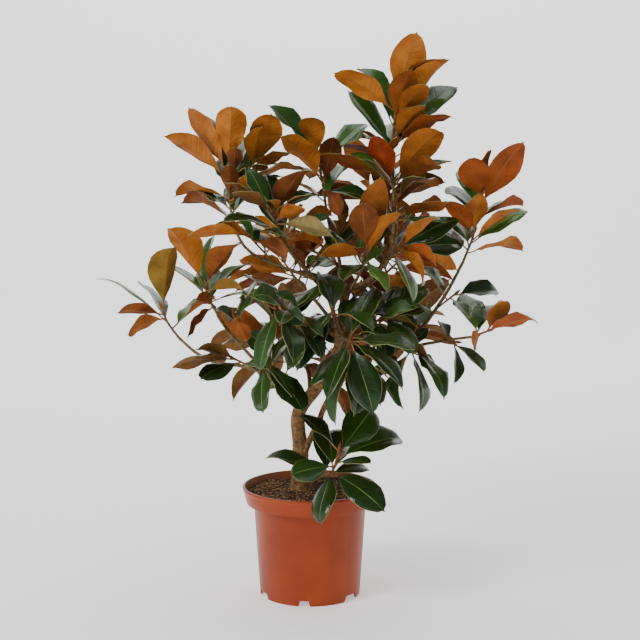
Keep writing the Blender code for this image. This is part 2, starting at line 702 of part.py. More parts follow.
def shown_leaf(root, node, bearing, reach, share, upper, chance, wander):
    """A leaf whose tip the front view shows at a bearing and reach, upper or lower side to the front.

    share is how much of its width the view shows. Later tries stray further and lean less.
    """
    turn = math.radians(bearing + chance.uniform(-1.2, 1.2) * wander)
    reach = reach * (1.0 - 0.006 * wander)
    spot = (node[0] + reach * math.sin(turn), node[1] - reach * math.cos(turn))
    across = (place(*spot, node[2]) - root).length
    longest = max(across * LEAF_SLACK, LEAF_SHORTEST) * (1.0 - 0.012 * wander)
    length = max(min(chance.uniform(*LEAF_LENGTH), longest), across * 1.02)
    lean = math.sqrt(length ** 2 - across ** 2)
    forward = not upper or abs(bearing) > 90
    tip = place(*spot, node[2] - lean if forward else node[2] + lean)
    aim = (tip - root).normalized()
    view = (VIEW_POINT - root).normalized()
    view = (view - aim * view.dot(aim)).normalized()
    side = aim.cross(view)
    if side.z < 0:
        side = -side
    share = share or chance.uniform(*SHOWN_SHARE)
    face = (view if upper else -view) * share + side * math.sqrt(1.0 - share ** 2)
    droop = 0.22 if abs(bearing) > 100 else 0.05
    leaf = make_leaf(chance, root, aim, face, length, droop, LEAF_ROWS)
    straight = (tip - root) / length - leaf_bend(leaf)
    return replace(leaf, along=straight.normalized(), length=length * straight.length)


def whorl_leaf(root, run, count, number, spin, rearward, chance, wander):
    """A leaf of a whorl: turned by the golden angle, and spreading wider the older it is."""
    axis = (run + UP * 0.35).normalized()
    first = axis.cross(FRONT if abs(axis.dot(FRONT)) < 0.9 else UP).normalized()
    second = axis.cross(first)
    turn = spin + number * GOLDEN_ANGLE
    if rearward:
        axis = UP * 0.8 - FRONT * 0.5
        first, second = Vector((1.0, 0.0, 0.0)), -FRONT
        turn = math.radians(90) + math.sin(turn) * math.radians(62)
    turn += math.radians(chance.uniform(-3, 3) * wander)
    spread = math.radians(32 + 60 * number / max(count, 3) + chance.uniform(-8, 8))
    outward = first * math.cos(turn) + second * math.sin(turn)
    along = (axis.normalized() * math.cos(spread) + outward * math.sin(spread)).normalized()
    length = chance.uniform(*LEAF_LENGTH)
    return make_leaf(chance, root, along, axis + UP * 0.2, length, 0.12, REAR_LEAF_ROWS)


def make_leaf(chance, root, along, face, length, droop, rows):
    """A leaf whose upper side faces a way as nearly as its direction lets it, with seeded shape."""
    level = (face - along * face.dot(along)).normalized()
    width = chance.uniform(*LEAF_WIDTH)
    fold = math.radians(chance.uniform(8, 32))
    curl = chance.uniform(0.02, 0.12)
    sag = chance.uniform(0.3, 1.0) * droop
    return Leaf(root + along * ROOT_SET_OFF, along, level, length, width, fold, curl, sag, rows)


def leaf_seed(mass, order, number, wander):
    """The seed of one try at one leaf, so that no leaf's shape hangs on another's."""
    return ((mass.seed * 8 + order) * 64 + number) * 32 + wander


def fan_leaves(mass, order, line, spot):
    """For each leaf of a fan, from the node down: whether it has to show, and what draws it."""
    fan = mass.fans[order]
    spin = random.Random(leaf_seed(mass, order, 0, 0)).uniform(0.0, math.tau)
    shown = [(*leaf, 0.0)[:3] + (False,) for leaf in fan.under]
    shown += [(*leaf, 0.0)[:3] + (True,) for leaf in fan.top]
    count = fan.rear + fan.whorl
    total = len(shown) + count
    step = min(LEAF_PITCH, (spot - line.length * 0.12) / total)
    for number in range(total):
        root, run = line.at(spot - FIRST_LEAF_BACK - step * number)
        if number < len(shown):
            yield True, partial(shown_leaf, root, fan.node, *shown[number])
        else:
            yield False, partial(whorl_leaf, root, run, count, number - len(shown), spin, fan.rear > 0)


def leaf_colour(mass):
    """Rusty where a mass mostly shows its leaves' undersides, green elsewhere."""
    rusty = sum(len(fan.under) for fan in mass.fans)
    green = sum(len(fan.top) for fan in mass.fans)
    return RUST_LEAF if rusty > green else GREEN_LEAF


def grow_stems(tree, mass):
    """A mass's stem and side twigs, as the object that holds them, their meshes and their lines."""
    chance = random.Random(mass.seed)
    knots = [tree.start_of(mass.parent, mass.start)] + [place(*spot) for spot in mass.stem]
    stem = Line(knots, 2)
    radii = taper(stem, (mass.girth, TWIG_RADIUS * 2))
    item = add_object(mass.name, tube_mesh(stem.points, radii, 0), tree.group, leaf_colour(mass), 0.5)
    item.data = combined(item, tree.cutters, "DIFFERENCE")
    grown = [(stem, stem.length)]
    shapes = []
    for fan in mass.fans[1:]:
        node = place(*fan.node)
        spot = stem.nearest(node)
        if (stem.at(spot)[0] - node).length < ON_STEM:
            grown.append((stem, spot))
            continue
        twig = side_twig(stem, node, chance)
        radii = taper(twig, (TWIG_RADIUS * 1.8, TWIG_RADIUS * 1.6))
        holder = add_object("twig", tube_mesh(twig.points, radii, 0), tree.group)
        shapes.append(combined(holder, tree.cutters, "DIFFERENCE"))
        bpy.data.objects.remove(holder)
        grown.append((twig, twig.length))
    return item, shapes, grown


def clear_of(trees, shape):
    """Whether a shape of points and faces touches none of the search trees."""
    mine = BVHTree.FromPolygons(*shape)
    return not any(mine.overlap(other) for other in trees)


def blade_only(leaf):
    """The leaf's blade without its stalk, for telling whether two blades cross."""
    points, faces = leaf_shape(leaf)
    kept = [face for face in faces if min(face) >= 4]
    return points, kept


def accept_leaf(tree, mass, draws, shown):
    """The first drawn leaf clear of limbs, other masses and, unless it has to show, its own mass."""
    others = tree.solids + [made for owner, made in tree.twigs + tree.blades if owner != mass.name]
    own = [made for owner, made in tree.twigs + tree.blades if owner == mass.name]
    spare = None
    for leaf in draws:
        if not clear_of(others, leaf_shape(leaf, LEAF_CLEARANCE)):
            continue
        if clear_of(own, blade_only(leaf)):
            return leaf
        spare = spare or leaf
    return spare if shown else None


def grow_leaves(tree, mass, item, shapes, grown):
    """Draw a mass's leaves, fuse them and its twigs to its stem, and remember what they fill."""
    parts = bpy.data.collections.new("parts")
    bpy.context.scene.collection.children.link(parts)
    for shape in shapes:
        add_object("twig", shape, parts)
    for order, (line, spot) in enumerate(grown):
        for number, (shown, draw) in enumerate(fan_leaves(mass, order, line, spot)):
            draws = (draw(random.Random(leaf_seed(mass, order, number, wander)), wander)
                     for wander in range(TRIES))
            leaf = accept_leaf(tree, mass, draws, shown)
            if leaf is None:
                continue
            tree.blades.append((mass.name, BVHTree.FromPolygons(*blade_only(leaf))))
            points, faces = leaf_shape(leaf)
            mesh = bpy.data.meshes.new("leaf")
            mesh.from_pydata(points, [], faces)
            add_object("leaf", mesh, parts)
    item.data = combined(item, parts, "UNION")
    empty_out(parts)
    bpy.data.collections.remove(parts)


def grow_masses(tree):
    """All stems and twigs first, then each mass's leaves in the table's order."""
    stems = [grow_stems(tree, mass) for mass in MASSES]
    for mass, (item, shapes, _) in zip(MASSES, stems):
        tree.twigs += [(mass.name, tree_of(mesh)) for mesh in (item.data, *shapes)]
    for mass, made in zip(MASSES, stems):
        grow_leaves(tree, mass, *made)


def main():
    """Clear the scene and build the plant in its pot."""
    for item in list(bpy.data.objects):
        bpy.data.objects.remove(item)
    group = bpy.data.collections.new("potted_magnolia_tree")
    cutters = bpy.data.collections.new("cutters")
    for made in (group, cutters):
        bpy.context.scene.collection.children.link(made)
    pot = build_pot(group, cutters)
    soil = build_soil(group)
    tree = Tree(group, cutters)
    tree.solids += [tree_of(pot.data), tree_of(evaluated_mesh(soil))]
    grow_trunk(tree)
    grow_limbs(tree)
    grow_masses(tree)
    empty_out(cutters)


main()
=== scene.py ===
"""Potted magnolia tree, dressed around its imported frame.

Metres, +Z up, and -Y is the tree's front. Limbs, stems and leaves grow by the same seeded rule as the
solids. Where a limb or a shoot stands is a place in the front view: units across and down a square
view of 640 units, and the real depth along Y in metres.
"""
import json
import logging
import math
import random
from collections.abc import Callable, Iterator
from dataclasses import dataclass, field, replace
from enum import Enum
from functools import partial

import bmesh
import bpy
from mathutils import Matrix, Vector, noise
from mathutils.bvhtree import BVHTree
from mathutils.kdtree import KDTree

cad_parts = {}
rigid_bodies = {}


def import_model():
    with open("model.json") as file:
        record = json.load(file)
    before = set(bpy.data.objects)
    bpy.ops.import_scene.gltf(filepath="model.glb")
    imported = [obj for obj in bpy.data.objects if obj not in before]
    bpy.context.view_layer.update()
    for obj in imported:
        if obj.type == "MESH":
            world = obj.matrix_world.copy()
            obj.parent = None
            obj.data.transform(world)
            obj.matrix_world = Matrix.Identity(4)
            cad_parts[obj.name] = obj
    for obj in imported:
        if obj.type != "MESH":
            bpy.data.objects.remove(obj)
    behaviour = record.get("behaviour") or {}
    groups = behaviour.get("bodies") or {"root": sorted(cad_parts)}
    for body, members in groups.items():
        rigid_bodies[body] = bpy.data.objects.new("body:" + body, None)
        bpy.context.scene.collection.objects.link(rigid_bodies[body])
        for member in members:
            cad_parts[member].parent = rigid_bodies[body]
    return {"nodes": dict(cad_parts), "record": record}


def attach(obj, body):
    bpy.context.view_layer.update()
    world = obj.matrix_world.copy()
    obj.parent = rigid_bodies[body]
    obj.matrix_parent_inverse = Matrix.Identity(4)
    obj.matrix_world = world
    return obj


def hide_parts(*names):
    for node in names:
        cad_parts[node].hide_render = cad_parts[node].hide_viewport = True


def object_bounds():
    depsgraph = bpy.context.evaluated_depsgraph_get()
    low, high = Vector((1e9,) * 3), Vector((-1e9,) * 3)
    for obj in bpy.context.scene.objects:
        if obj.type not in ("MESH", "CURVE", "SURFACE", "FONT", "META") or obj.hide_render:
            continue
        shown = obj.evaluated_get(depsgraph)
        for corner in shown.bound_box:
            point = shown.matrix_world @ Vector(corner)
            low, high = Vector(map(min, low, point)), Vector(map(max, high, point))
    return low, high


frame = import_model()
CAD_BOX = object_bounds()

BODY = "root"
UP = Vector((0.0, 0.0, 1.0))
FRONT = Vector((0.0, -1.0, 0.0))
GAP = 0.0003

logging.basicConfig(level=logging.INFO, format="%(message)s")
log = logging.getLogger("magnolia")


@dataclass(frozen=True)
class ViewFrame:
    """The front view that the plant is laid out in, and that the camera looks through."""

    point: tuple[float, float, float] = (0.018, -2.415, 0.798)
    pitch: float = math.radians(7.23)
    focus: float = 1384.7
    side: float = 640.0
    sensor: float = 36.0

    @property
    def lens(self) -> float:
        """The camera's focal length in millimetres."""
        return self.sensor * self.focus / self.side

    def place(self, across: float, down: float, depth: float) -> Vector:
        """The point at a depth that the view shows at a place.

        Args:
            across: Units from the view's left edge.
            down: Units from its top edge.
            depth: The point's Y in metres.

        Returns:
            The point in the row frame.
        """
        aim = Vector((0.0, math.cos(self.pitch), -math.sin(self.pitch)))
        rise = Vector((0.0, math.sin(self.pitch), math.cos(self.pitch)))
        centre = self.side / 2
        ray = aim * self.focus + Vector((across - centre, 0.0, 0.0)) + rise * (centre - down)
        eye = Vector(self.point)
        return eye + ray * ((depth - eye.y) / ray.y)


VIEW = ViewFrame()


@dataclass(frozen=True)
class LimbPlan:
    """One tapering limb: what it grows from, how far along that, its bends and its two diameters."""

    name: str
    parent: str
    start: float
    bends: tuple[tuple[float, float, float], ...]
    girth: tuple[float, float]


@dataclass(frozen=True)
class FanPlan:
    """The leaves round one node, each a bearing clockwise from upright, a reach and a width shown.

    Those under under show their rusty side to the front, those under top their green side. rear and
    whorl count the leaves that spread by the golden angle, behind the node or all round it.
    """

    node: tuple[float, float, float]
    under: tuple[tuple[float, float, float], ...] = ()
    top: tuple[tuple[float, float, float], ...] = ()
    rear: int = 0
    whorl: int = 0


@dataclass(frozen=True)
class MassPlan:
    """One mass of foliage: its stem's parent limb, where it starts, its bends and its fans."""

    name: str
    parent: str
    start: float
    stem: tuple[tuple[float, float, float], ...]
    fans: tuple[FanPlan, ...]
    girth: float = 0.0052
    seed: int = 0


TRUNK_FOOT = Vector((-0.0155, 0.012, 0.1863))
TRUNK_RISE = 0.012
TRUNK_BENDS = ((300, 446, 0.008), (299, 412, 0.004), (318, 386, 0.0), (334, 361, 0.0), (340, 338, 0.0),
               (343, 307, 0.005), (348, 289, 0.01))
TRUNK_GIRTH = (0.031, 0.0135)
SECOND_BENDS = ((311, 437, -0.006), (318, 424, -0.010), (326, 404, -0.010), (346, 376, 0.0),
                (372, 358, 0.008), (403, 347, 0.0))
SECOND_GIRTH = (0.0125, 0.0085)
SECOND_FORK = 0.12

LIMBS = (
    LimbPlan("bough_left", "trunk", 0.40,
             ((283, 384, -0.02), (250, 368, -0.03), (220, 363, -0.03), (198, 354, -0.03),
              (179, 338, -0.02)), (0.0085, 0.0048)),
    LimbPlan("bough_left_middle", "bough_left", 0.33,
             ((246, 351, -0.035), (228, 331, -0.02), (212, 305, -0.01)), (0.0066, 0.0048)),
    LimbPlan("bough_upper_left", "trunk", 0.76,
             ((330, 302, -0.02), (314, 279, -0.03), (294, 257, -0.055)), (0.0090, 0.0056)),
    LimbPlan("bough_shoulder", "bough_upper_left", 0.70,
             ((266, 261, -0.03), (246, 248, -0.02), (236, 232, -0.01)), (0.0066, 0.0050)),
    LimbPlan("bough_leader", "trunk", 1.0,
             ((368, 281, 0.01), (384, 264, 0.01), (391, 250, 0.01), (394, 226, 0.015),
              (394, 202, 0.02)), (0.0098, 0.0060)),
    LimbPlan("bough_top_middle", "trunk", 0.86,
             ((340, 265, 0.05), (332, 236, 0.05), (327, 214, 0.045)), (0.0080, 0.0054)),
    LimbPlan("bough_top_front", "trunk", 0.95,
             ((355, 282, -0.015), (360, 273, -0.03)), (0.0070, 0.0054)),
    LimbPlan("bough_right_middle", "trunk", 0.72,
             ((358, 326, -0.015), (371, 322, -0.03)), (0.0080, 0.0056)),
    LimbPlan("bough_front_left", "trunk", 0.62,
             ((314, 338, -0.055), (294, 324, -0.10)), (0.0078, 0.0054)),
    LimbPlan("bough_front_low", "trunk", 0.67,
             ((343, 338, -0.05), (346, 339, -0.10)), (0.0072, 0.0054)),
    LimbPlan("bough_rear_left", "trunk", 0.47,
             ((306, 367, 0.07), (284, 355, 0.14)), (0.0090, 0.0056)),
    LimbPlan("bough_rear_middle_left", "trunk", 0.79,
             ((320, 306, 0.09), (299, 283, 0.15)), (0.0086, 0.0056)),
    LimbPlan("bough_rear_middle_right", "trunk", 0.90,
             ((364, 288, 0.08), (385, 274, 0.14)), (0.0082, 0.0056)),
    LimbPlan("bough_rear_top", "bough_leader", 0.62,
             ((388, 228, 0.07), (380, 214, 0.115)), (0.0066, 0.0052)),
    LimbPlan("bough_rear_right", "stem_second", 0.55,
             ((366, 348, 0.08), (385, 336, 0.14)), (0.0082, 0.0056)),
    LimbPlan("bough_right_tall", "stem_second", 1.0,
             ((425, 324, 0.0), (447, 292, 0.02), (463, 262, 0.03)), (0.0080, 0.0052)),
    LimbPlan("bough_right_low", "stem_second", 0.93,
             ((425, 344, -0.03), (455, 339, -0.03), (471, 337, -0.035)), (0.0062, 0.0046)),
    LimbPlan("shoot_basal", "trunk", 0.035,
             ((314, 480, -0.02), (322, 477, -0.045)), (0.0070, 0.0056)),
)

MASSES = (
    MassPlan("foliage_apex", "bough_leader", 1.0,
             ((393, 178, 0.02), (393, 140, 0.015), (396, 101, 0.01)), (
        FanPlan((396, 101, 0.01),
                ((17, 70, 1.0), (25, 68, 0.7), (-63, 66, 0.8), (49, 66, 0.6), (63, 35, 0.9),
                 (10, 38, 0.95)), ((-45, 50, 0.5), (74, 61, 0.7), (40, 30, 0.6)), 3),
        FanPlan((393, 140, 0.015), ((39, 48, 0.8), (64, 64, 0.5)), ((-42, 65, 0.55),), 3),
        FanPlan((393, 178, 0.02), ((35, 73, 0.97), (70, 50, 0.5), (-70, 74, 0.35), (-26, 46, 0.8)),
                ((-47, 54, 0.5), (73, 60, 0.3), (42, 60, 0.45)), 3),
    ), 0.0060, 1),
    MassPlan("foliage_upper_left", "bough_shoulder", 1.0,
             ((231, 211, 0.0), (229, 190, 0.0), (228, 168, 0.0)), (
        FanPlan((228, 168, 0.0), ((4, 64, 1.0), (-25, 74, 0.45), (-62, 70, 0.6)),
                ((-24, 62, 0.5), (38, 43, 0.6)), 3),
        FanPlan((230, 195, 0.0), ((0, 30, 1.0), (75, 30, 0.5), (36, 44, 0.7)),
                ((-85, 26, 0.4), (44, 61, 0.25)), 2),
        FanPlan((257, 168, 0.03), ((15, 58, 0.95), (4, 42, 0.8), (62, 36, 0.5)), (), 3),
    ), 0.0046, 2),
    MassPlan("foliage_top_middle", "bough_top_middle", 1.0, ((322, 180, 0.04), (318, 156, 0.03)), (
        FanPlan((318, 156, 0.03), ((-14, 43, 0.85),), ((-43, 69, 0.5), (64, 63, 0.45)), 3),
        FanPlan((322, 180, 0.04), ((-40, 60, 0.6), (36, 50, 1.0), (150, 40, 0.9)),
                ((126, 56, 0.5), (-128, 43, 0.5)), 3),
    ), 0.0048, 3),
    MassPlan("foliage_left_front", "bough_upper_left", 1.0, ((281, 236, -0.065), (274, 214, -0.07)), (
        FanPlan((274, 214, -0.07), ((32, 57, 0.7), (78, 30, 0.8), (112, 72, 0.6)),
                ((-18, 42, 0.8), (-94, 49, 0.35)), 3),
        FanPlan((296, 236, -0.085), (), ((50, 40, 0.4), (-60, 40, 0.5)), 1),
    ), 0.0048, 4),
    MassPlan("foliage_front_top", "bough_top_front", 1.0, ((367, 250, -0.07),), (
        FanPlan((367, 250, -0.07), ((-6, 46, 1.0), (10, 73, 0.8), (-80, 50, 0.6), (20, 55, 0.45)),
                ((150, 42, 0.6), (-140, 36, 0.6)), 2),
    ), 0.0050, 5),
    MassPlan("foliage_right_centre", "bough_leader", 0.50, ((402, 246, -0.03),), (
        FanPlan((402, 246, -0.03), ((48, 46, 0.5), (118, 38, 0.6), (148, 44, 0.5)),
                ((90, 60, 0.75), (62, 62, 0.6), (168, 54, 0.5)), 2),
        FanPlan((398, 214, -0.02), ((78, 50, 0.5),), ((95, 52, 0.4),), 2),
    ), 0.0046, 6),
    MassPlan("foliage_right_middle", "bough_right_middle", 1.0, ((393, 317, -0.06),), (
        FanPlan((393, 317, -0.06), (), ((15, 30, 0.5), (80, 38, 0.6), (-70, 34, 0.6), (-30, 38, 0.6),
                                        (150, 42, 0.8), (50, 46, 0.8), (-170, 40, 0.9)), 2),
    ), 0.0050, 7),
    MassPlan("foliage_right_tall", "bough_right_tall", 1.0, ((474, 233, 0.03), (481, 198, 0.02)), (
        FanPlan((481, 198, 0.02), ((-16, 44, 1.0), (-8, 55, 0.5), (36, 70, 0.85)), (), 3),
        FanPlan((474, 233, 0.03), ((6, 40, 0.95), (-37, 43, 0.7), (62, 56, 0.4)), ((50, 66, 0.6),), 3),
    ), 0.0048, 8),
    MassPlan("foliage_right_side", "bough_right_tall", 0.47, ((455, 294, 0.0),), (
        FanPlan((455, 294, 0.0), (), ((85, 45, 0.6), (150, 28, 0.6)), 1),
    ), 0.0034, 9),
    MassPlan("foliage_right_low", "bough_right_low", 1.0, ((488, 331, -0.04),), (
        FanPlan((488, 331, -0.04), ((32, 36, 0.7), (74, 52, 0.35), (-135, 22, 0.5)), (), 2),
    ), 0.0044, 10),
    MassPlan("foliage_right_hanging", "bough_right_low", 0.66, ((456, 342, -0.05),), (
        FanPlan((456, 342, -0.05), (), ((180, 40, 0.5), (138, 40, 0.45), (-40, 26, 0.5)), 1),
    ), 0.0036, 11),
    MassPlan("foliage_right_inner", "bough_right_low", 0.22, ((414, 352, -0.06),), (
        FanPlan((414, 352, -0.06), ((110, 18, 0.7),),
                ((144, 55, 0.5), (168, 58, 0.35), (30, 28, 0.7), (-162, 56, 0.5)), 2),
    ), 0.0040, 12),
    MassPlan("foliage_left_far", "bough_left", 1.0, ((168, 323, -0.02), (162, 309, -0.02)), (
        FanPlan((162, 311, -0.02), ((7, 68, 0.9), (-90, 44, 0.5), (-126, 41, 0.45)),
                ((-58, 72, 0.12),), 2),
    ), 0.0044, 13),
    MassPlan("foliage_left_middle", "bough_left_middle", 1.0, ((203, 282, -0.01),), (
        FanPlan((203, 282, -0.01), ((-30, 64, 0.9), (42, 52, 0.7), (-90, 74, 0.3), (98, 42, 0.4)),
                ((12, 46, 0.35), (68, 48, 0.4)), 3),
        FanPlan((214, 306, -0.03), ((-140, 42, 0.35), (-72, 20, 0.8)), (), 1),
    ), 0.0044, 14),
    MassPlan("foliage_left_upper", "bough_shoulder", 0.42, ((247, 234, -0.06),), (
        FanPlan((247, 234, -0.06), ((-92, 58, 0.35), (-86, 38, 0.6), (122, 50, 0.7)),
                ((-30, 28, 0.5),), 3),
    ), 0.0038, 15),
    MassPlan("foliage_left_low", "bough_left", 0.36, ((233, 358, -0.06),), (
        FanPlan((233, 358, -0.06), ((-96, 60, 0.4), (-74, 38, 0.5)), ((-122, 38, 0.6), (100, 34, 0.6)), 1),
    ), 0.0036, 16),
    MassPlan("foliage_left_inner", "bough_left_middle", 0.42, ((234, 316, -0.04),), (
        FanPlan((234, 316, -0.04), ((152, 30, 1.0),), ((-70, 20, 0.5), (30, 40, 0.5)), 1),
    ), 0.0034, 17),
    MassPlan("foliage_front_left", "bough_front_left", 1.0, ((277, 309, -0.14),), (
        FanPlan((277, 309, -0.14), (), ((-166, 66, 0.75), (160, 54, 0.7), (130, 32, 1.0), (60, 38, 0.5)), 2),
        FanPlan((300, 322, -0.11), (), ((-172, 46, 0.8), (152, 42, 0.7)), 1),
    ), 0.0048, 18),
    MassPlan("foliage_front_middle", "trunk", 0.80, ((333, 309, -0.10),), (
        FanPlan((333, 309, -0.10), (), ((-146, 34, 0.7), (-152, 72, 0.75), (-20, 34, 0.5), (118, 44, 0.5)), 1),
    ), 0.0044, 19),
    MassPlan("foliage_front_low", "bough_front_low", 1.0, ((351, 342, -0.17),), (
        FanPlan((351, 342, -0.17), (), ((162, 74, 1.0), (132, 70, 0.6), (94, 60, 0.35), (-158, 60, 0.6)), 1),
        FanPlan((352, 352, -0.12), (), ((-166, 74, 0.6), (175, 62, 0.8), (150, 60, 0.7), (-130, 50, 0.5)), 1),
    ), 0.0048, 20),
    MassPlan("foliage_left_drooping", "bough_left", 0.22, ((262, 362, -0.08),), (
        FanPlan((262, 362, -0.08), (), ((180, 48, 0.6), (140, 62, 0.7), (-168, 44, 0.4), (40, 40, 0.5)), 1),
    ), 0.0038, 21),
    MassPlan("foliage_basal", "shoot_basal", 1.0, ((333, 470, -0.085), (339, 449, -0.075)), (
        FanPlan((339, 449, -0.075), (), ((-46, 54, 0.4), (40, 53, 1.0), (78, 64, 0.7), (114, 34, 0.6),
                                         (-120, 53, 0.95)), 2),
        FanPlan((333, 470, -0.085), (), ((-164, 54, 0.85), (128, 64, 0.9), (84, 36, 0.7), (-79, 68, 0.6)), 1),
    ), 0.0048, 22),
    MassPlan("foliage_rear_left", "bough_rear_left", 1.0, ((268, 342, 0.20),), (
        FanPlan((268, 342, 0.20), whorl=8),
        FanPlan((290, 330, 0.15), whorl=5),
    ), 0.0048, 23),
    MassPlan("foliage_rear_right", "bough_rear_right", 1.0, ((400, 322, 0.20),), (
        FanPlan((400, 322, 0.20), whorl=8),
        FanPlan((376, 336, 0.15), whorl=5),
    ), 0.0048, 24),
    MassPlan("foliage_rear_middle_left", "bough_rear_middle_left", 1.0, ((284, 262, 0.21),), (
        FanPlan((284, 262, 0.21), whorl=8),
        FanPlan((306, 268, 0.17), whorl=5),
    ), 0.0048, 25),
    MassPlan("foliage_rear_middle_right", "bough_rear_middle_right", 1.0, ((402, 258, 0.21),), (
        FanPlan((402, 258, 0.21), whorl=8),
        FanPlan((380, 262, 0.17), whorl=5),
    ), 0.0048, 26),
    MassPlan("foliage_rear_top", "bough_rear_top", 1.0, ((372, 190, 0.17),), (
        FanPlan((372, 190, 0.17), whorl=8),
    ), 0.0046, 27),
)


def srgb(code: str) -> tuple[float, float, float]:
    """Linear red, green and blue of a colour written as six hexadecimal digits."""
    parts = [int(code[place:place + 2], 16) / 255 for place in (0, 2, 4)]
    linear = [part / 12.92 if part <= 0.04045 else ((part + 0.055) / 1.055) ** 2.4 for part in parts]
    return (linear[0], linear[1], linear[2])


@dataclass(frozen=True)
class Finish:
    """A surface of one base colour with a soft mottle of a second one and a fine grain in its relief.

    Scales are in waves to the metre on the piece's own coordinates, and bumps are in metres.
    """

    name: str
    colour: str
    second: str
    roughness: float = 0.6
    mottle_scale: float = 60.0
    mottle: float = 0.5
    grain_scale: float = 900.0
    grain_depth: float = 0.0001
    swell_scale: float = 55.0
    swell_depth: float = 0.0
    vein_depth: float = 0.0
    coat: float = 0.0
    coat_roughness: float = 0.15
    sheen: float = 0.0
    specular: float = 0.5
    mottle_spread: float = 0.3

    def material(self) -> bpy.types.Material:
        """The finish as a node material, made once and used again."""
        made = bpy.data.materials.get(self.name)
        if made:
            return made
        made = bpy.data.materials.new(self.name)
        made.use_nodes = True
        tree = made.node_tree
        shader = tree.nodes["Principled BSDF"]
        shader.inputs["Roughness"].default_value = self.roughness
        shader.inputs["Specular IOR Level"].default_value = self.specular
        shader.inputs["Coat Weight"].default_value = self.coat
        shader.inputs["Coat Roughness"].default_value = self.coat_roughness
        shader.inputs["Sheen Weight"].default_value = self.sheen
        shader.inputs["Sheen Roughness"].default_value = 0.5
        shader.inputs["Sheen Tint"].default_value = (*srgb(self.colour), 1.0)
        made.diffuse_color = (*srgb(self.colour), 1.0)
        self.paint(tree, shader)
        self.relieve(tree, shader)
        return made

    def paint(self, tree: bpy.types.NodeTree, shader: bpy.types.Node) -> None:
        """Join the mottled base colour to the shader."""
        cloud = noise_node(tree, self.mottle_scale, 3.0)
        ramp = tree.nodes.new("ShaderNodeValToRGB")
        ramp.color_ramp.elements[0].position = 0.5 - self.mottle_spread * self.mottle
        ramp.color_ramp.elements[0].color = (*srgb(self.colour), 1.0)
        ramp.color_ramp.elements[1].position = 0.5 + self.mottle_spread
        ramp.color_ramp.elements[1].color = (*srgb(self.second), 1.0)
        tree.links.new(cloud.outputs["Fac"], ramp.inputs["Fac"])
        tree.links.new(ramp.outputs["Color"], shader.inputs["Base Color"])

    def relieve(self, tree: bpy.types.NodeTree, shader: bpy.types.Node) -> None:
        """Join the grain, and the side veins and broad swell where there are any, to the normal."""
        last = bump_node(tree, noise_node(tree, self.grain_scale, 2.0).outputs["Fac"], self.grain_depth)
        if self.vein_depth:
            veins = bump_node(tree, vein_height(tree), self.vein_depth)
            tree.links.new(last.outputs["Normal"], veins.inputs["Normal"])
            last = veins
        if self.swell_depth:
            broad = bump_node(tree, noise_node(tree, self.swell_scale, 1.0).outputs["Fac"], self.swell_depth)
            tree.links.new(last.outputs["Normal"], broad.inputs["Normal"])
            last = broad
        tree.links.new(last.outputs["Normal"], shader.inputs["Normal"])


def noise_node(tree: bpy.types.NodeTree, scale: float, detail: float) -> bpy.types.Node:
    """A noise texture on the piece's own coordinates."""
    where = tree.nodes.new("ShaderNodeTexCoord")
    cloud = tree.nodes.new("ShaderNodeTexNoise")
    cloud.inputs["Scale"].default_value = scale
    cloud.inputs["Detail"].default_value = detail
    tree.links.new(where.outputs["Object"], cloud.inputs["Vector"])
    return cloud


def bump_node(tree: bpy.types.NodeTree, height: bpy.types.NodeSocket, depth: float) -> bpy.types.Node:
    """A bump of a depth in metres that a height drives."""
    bump = tree.nodes.new("ShaderNodeBump")
    bump.inputs["Strength"].default_value = 1.0
    bump.inputs["Distance"].default_value = depth
    tree.links.new(height, bump.inputs["Height"])
    return bump


def vein_height(tree: bpy.types.NodeTree) -> bpy.types.NodeSocket:
    """The height of a blade between its side veins, which slant off the midrib towards the tip."""
    blade = tree.nodes.new("ShaderNodeAttribute")
    blade.attribute_name = "blade"
    parts = tree.nodes.new("ShaderNodeSeparateXYZ")
    tree.links.new(blade.outputs["Vector"], parts.inputs["Vector"])
    across = math_node(tree, "ABSOLUTE", parts.outputs["X"])
    slant = math_node(tree, "MULTIPLY", across, -1.4)
    phase = math_node(tree, "MULTIPLY_ADD", parts.outputs["Y"], 12.0)
    tree.links.new(slant, phase.node.inputs[2])
    wave = math_node(tree, "PINGPONG", phase, 0.5)
    groove = tree.nodes.new("ShaderNodeMapRange")
    groove.interpolation_type = "SMOOTHSTEP"
    groove.inputs["From Max"].default_value = 0.2
    tree.links.new(wave, groove.inputs["Value"])
    return groove.outputs["Result"]


def math_node(tree: bpy.types.NodeTree, operation: str, value: bpy.types.NodeSocket,
              second: float = 0.0) -> bpy.types.NodeSocket:
    """The result of an operation on a value and a number."""
    node = tree.nodes.new("ShaderNodeMath")
    node.operation = operation
    node.inputs[1].default_value = second
    tree.links.new(value, node.inputs[0])
    return node.outputs["Value"]


def felt(name: str, colour: str, second: str) -> Finish:
    """A rusty felt for the underside of leaves."""
    return Finish(name, colour, second, 0.78, 34.0, 0.9, 1400.0, 0.00014, 50.0, 0.0011,
                  vein_depth=0.00045, sheen=0.05, specular=0.22, mottle_spread=0.14)


def gloss(name: str, colour: str, second: str) -> Finish:
    """A waxy green for the upper side of leaves."""
    return Finish(name, colour, second, 0.28, 40.0, 0.6, 500.0, 0.00005, 60.0, 0.0008, 0.00016,
                  coat=0.16, coat_roughness=0.15, specular=0.36)


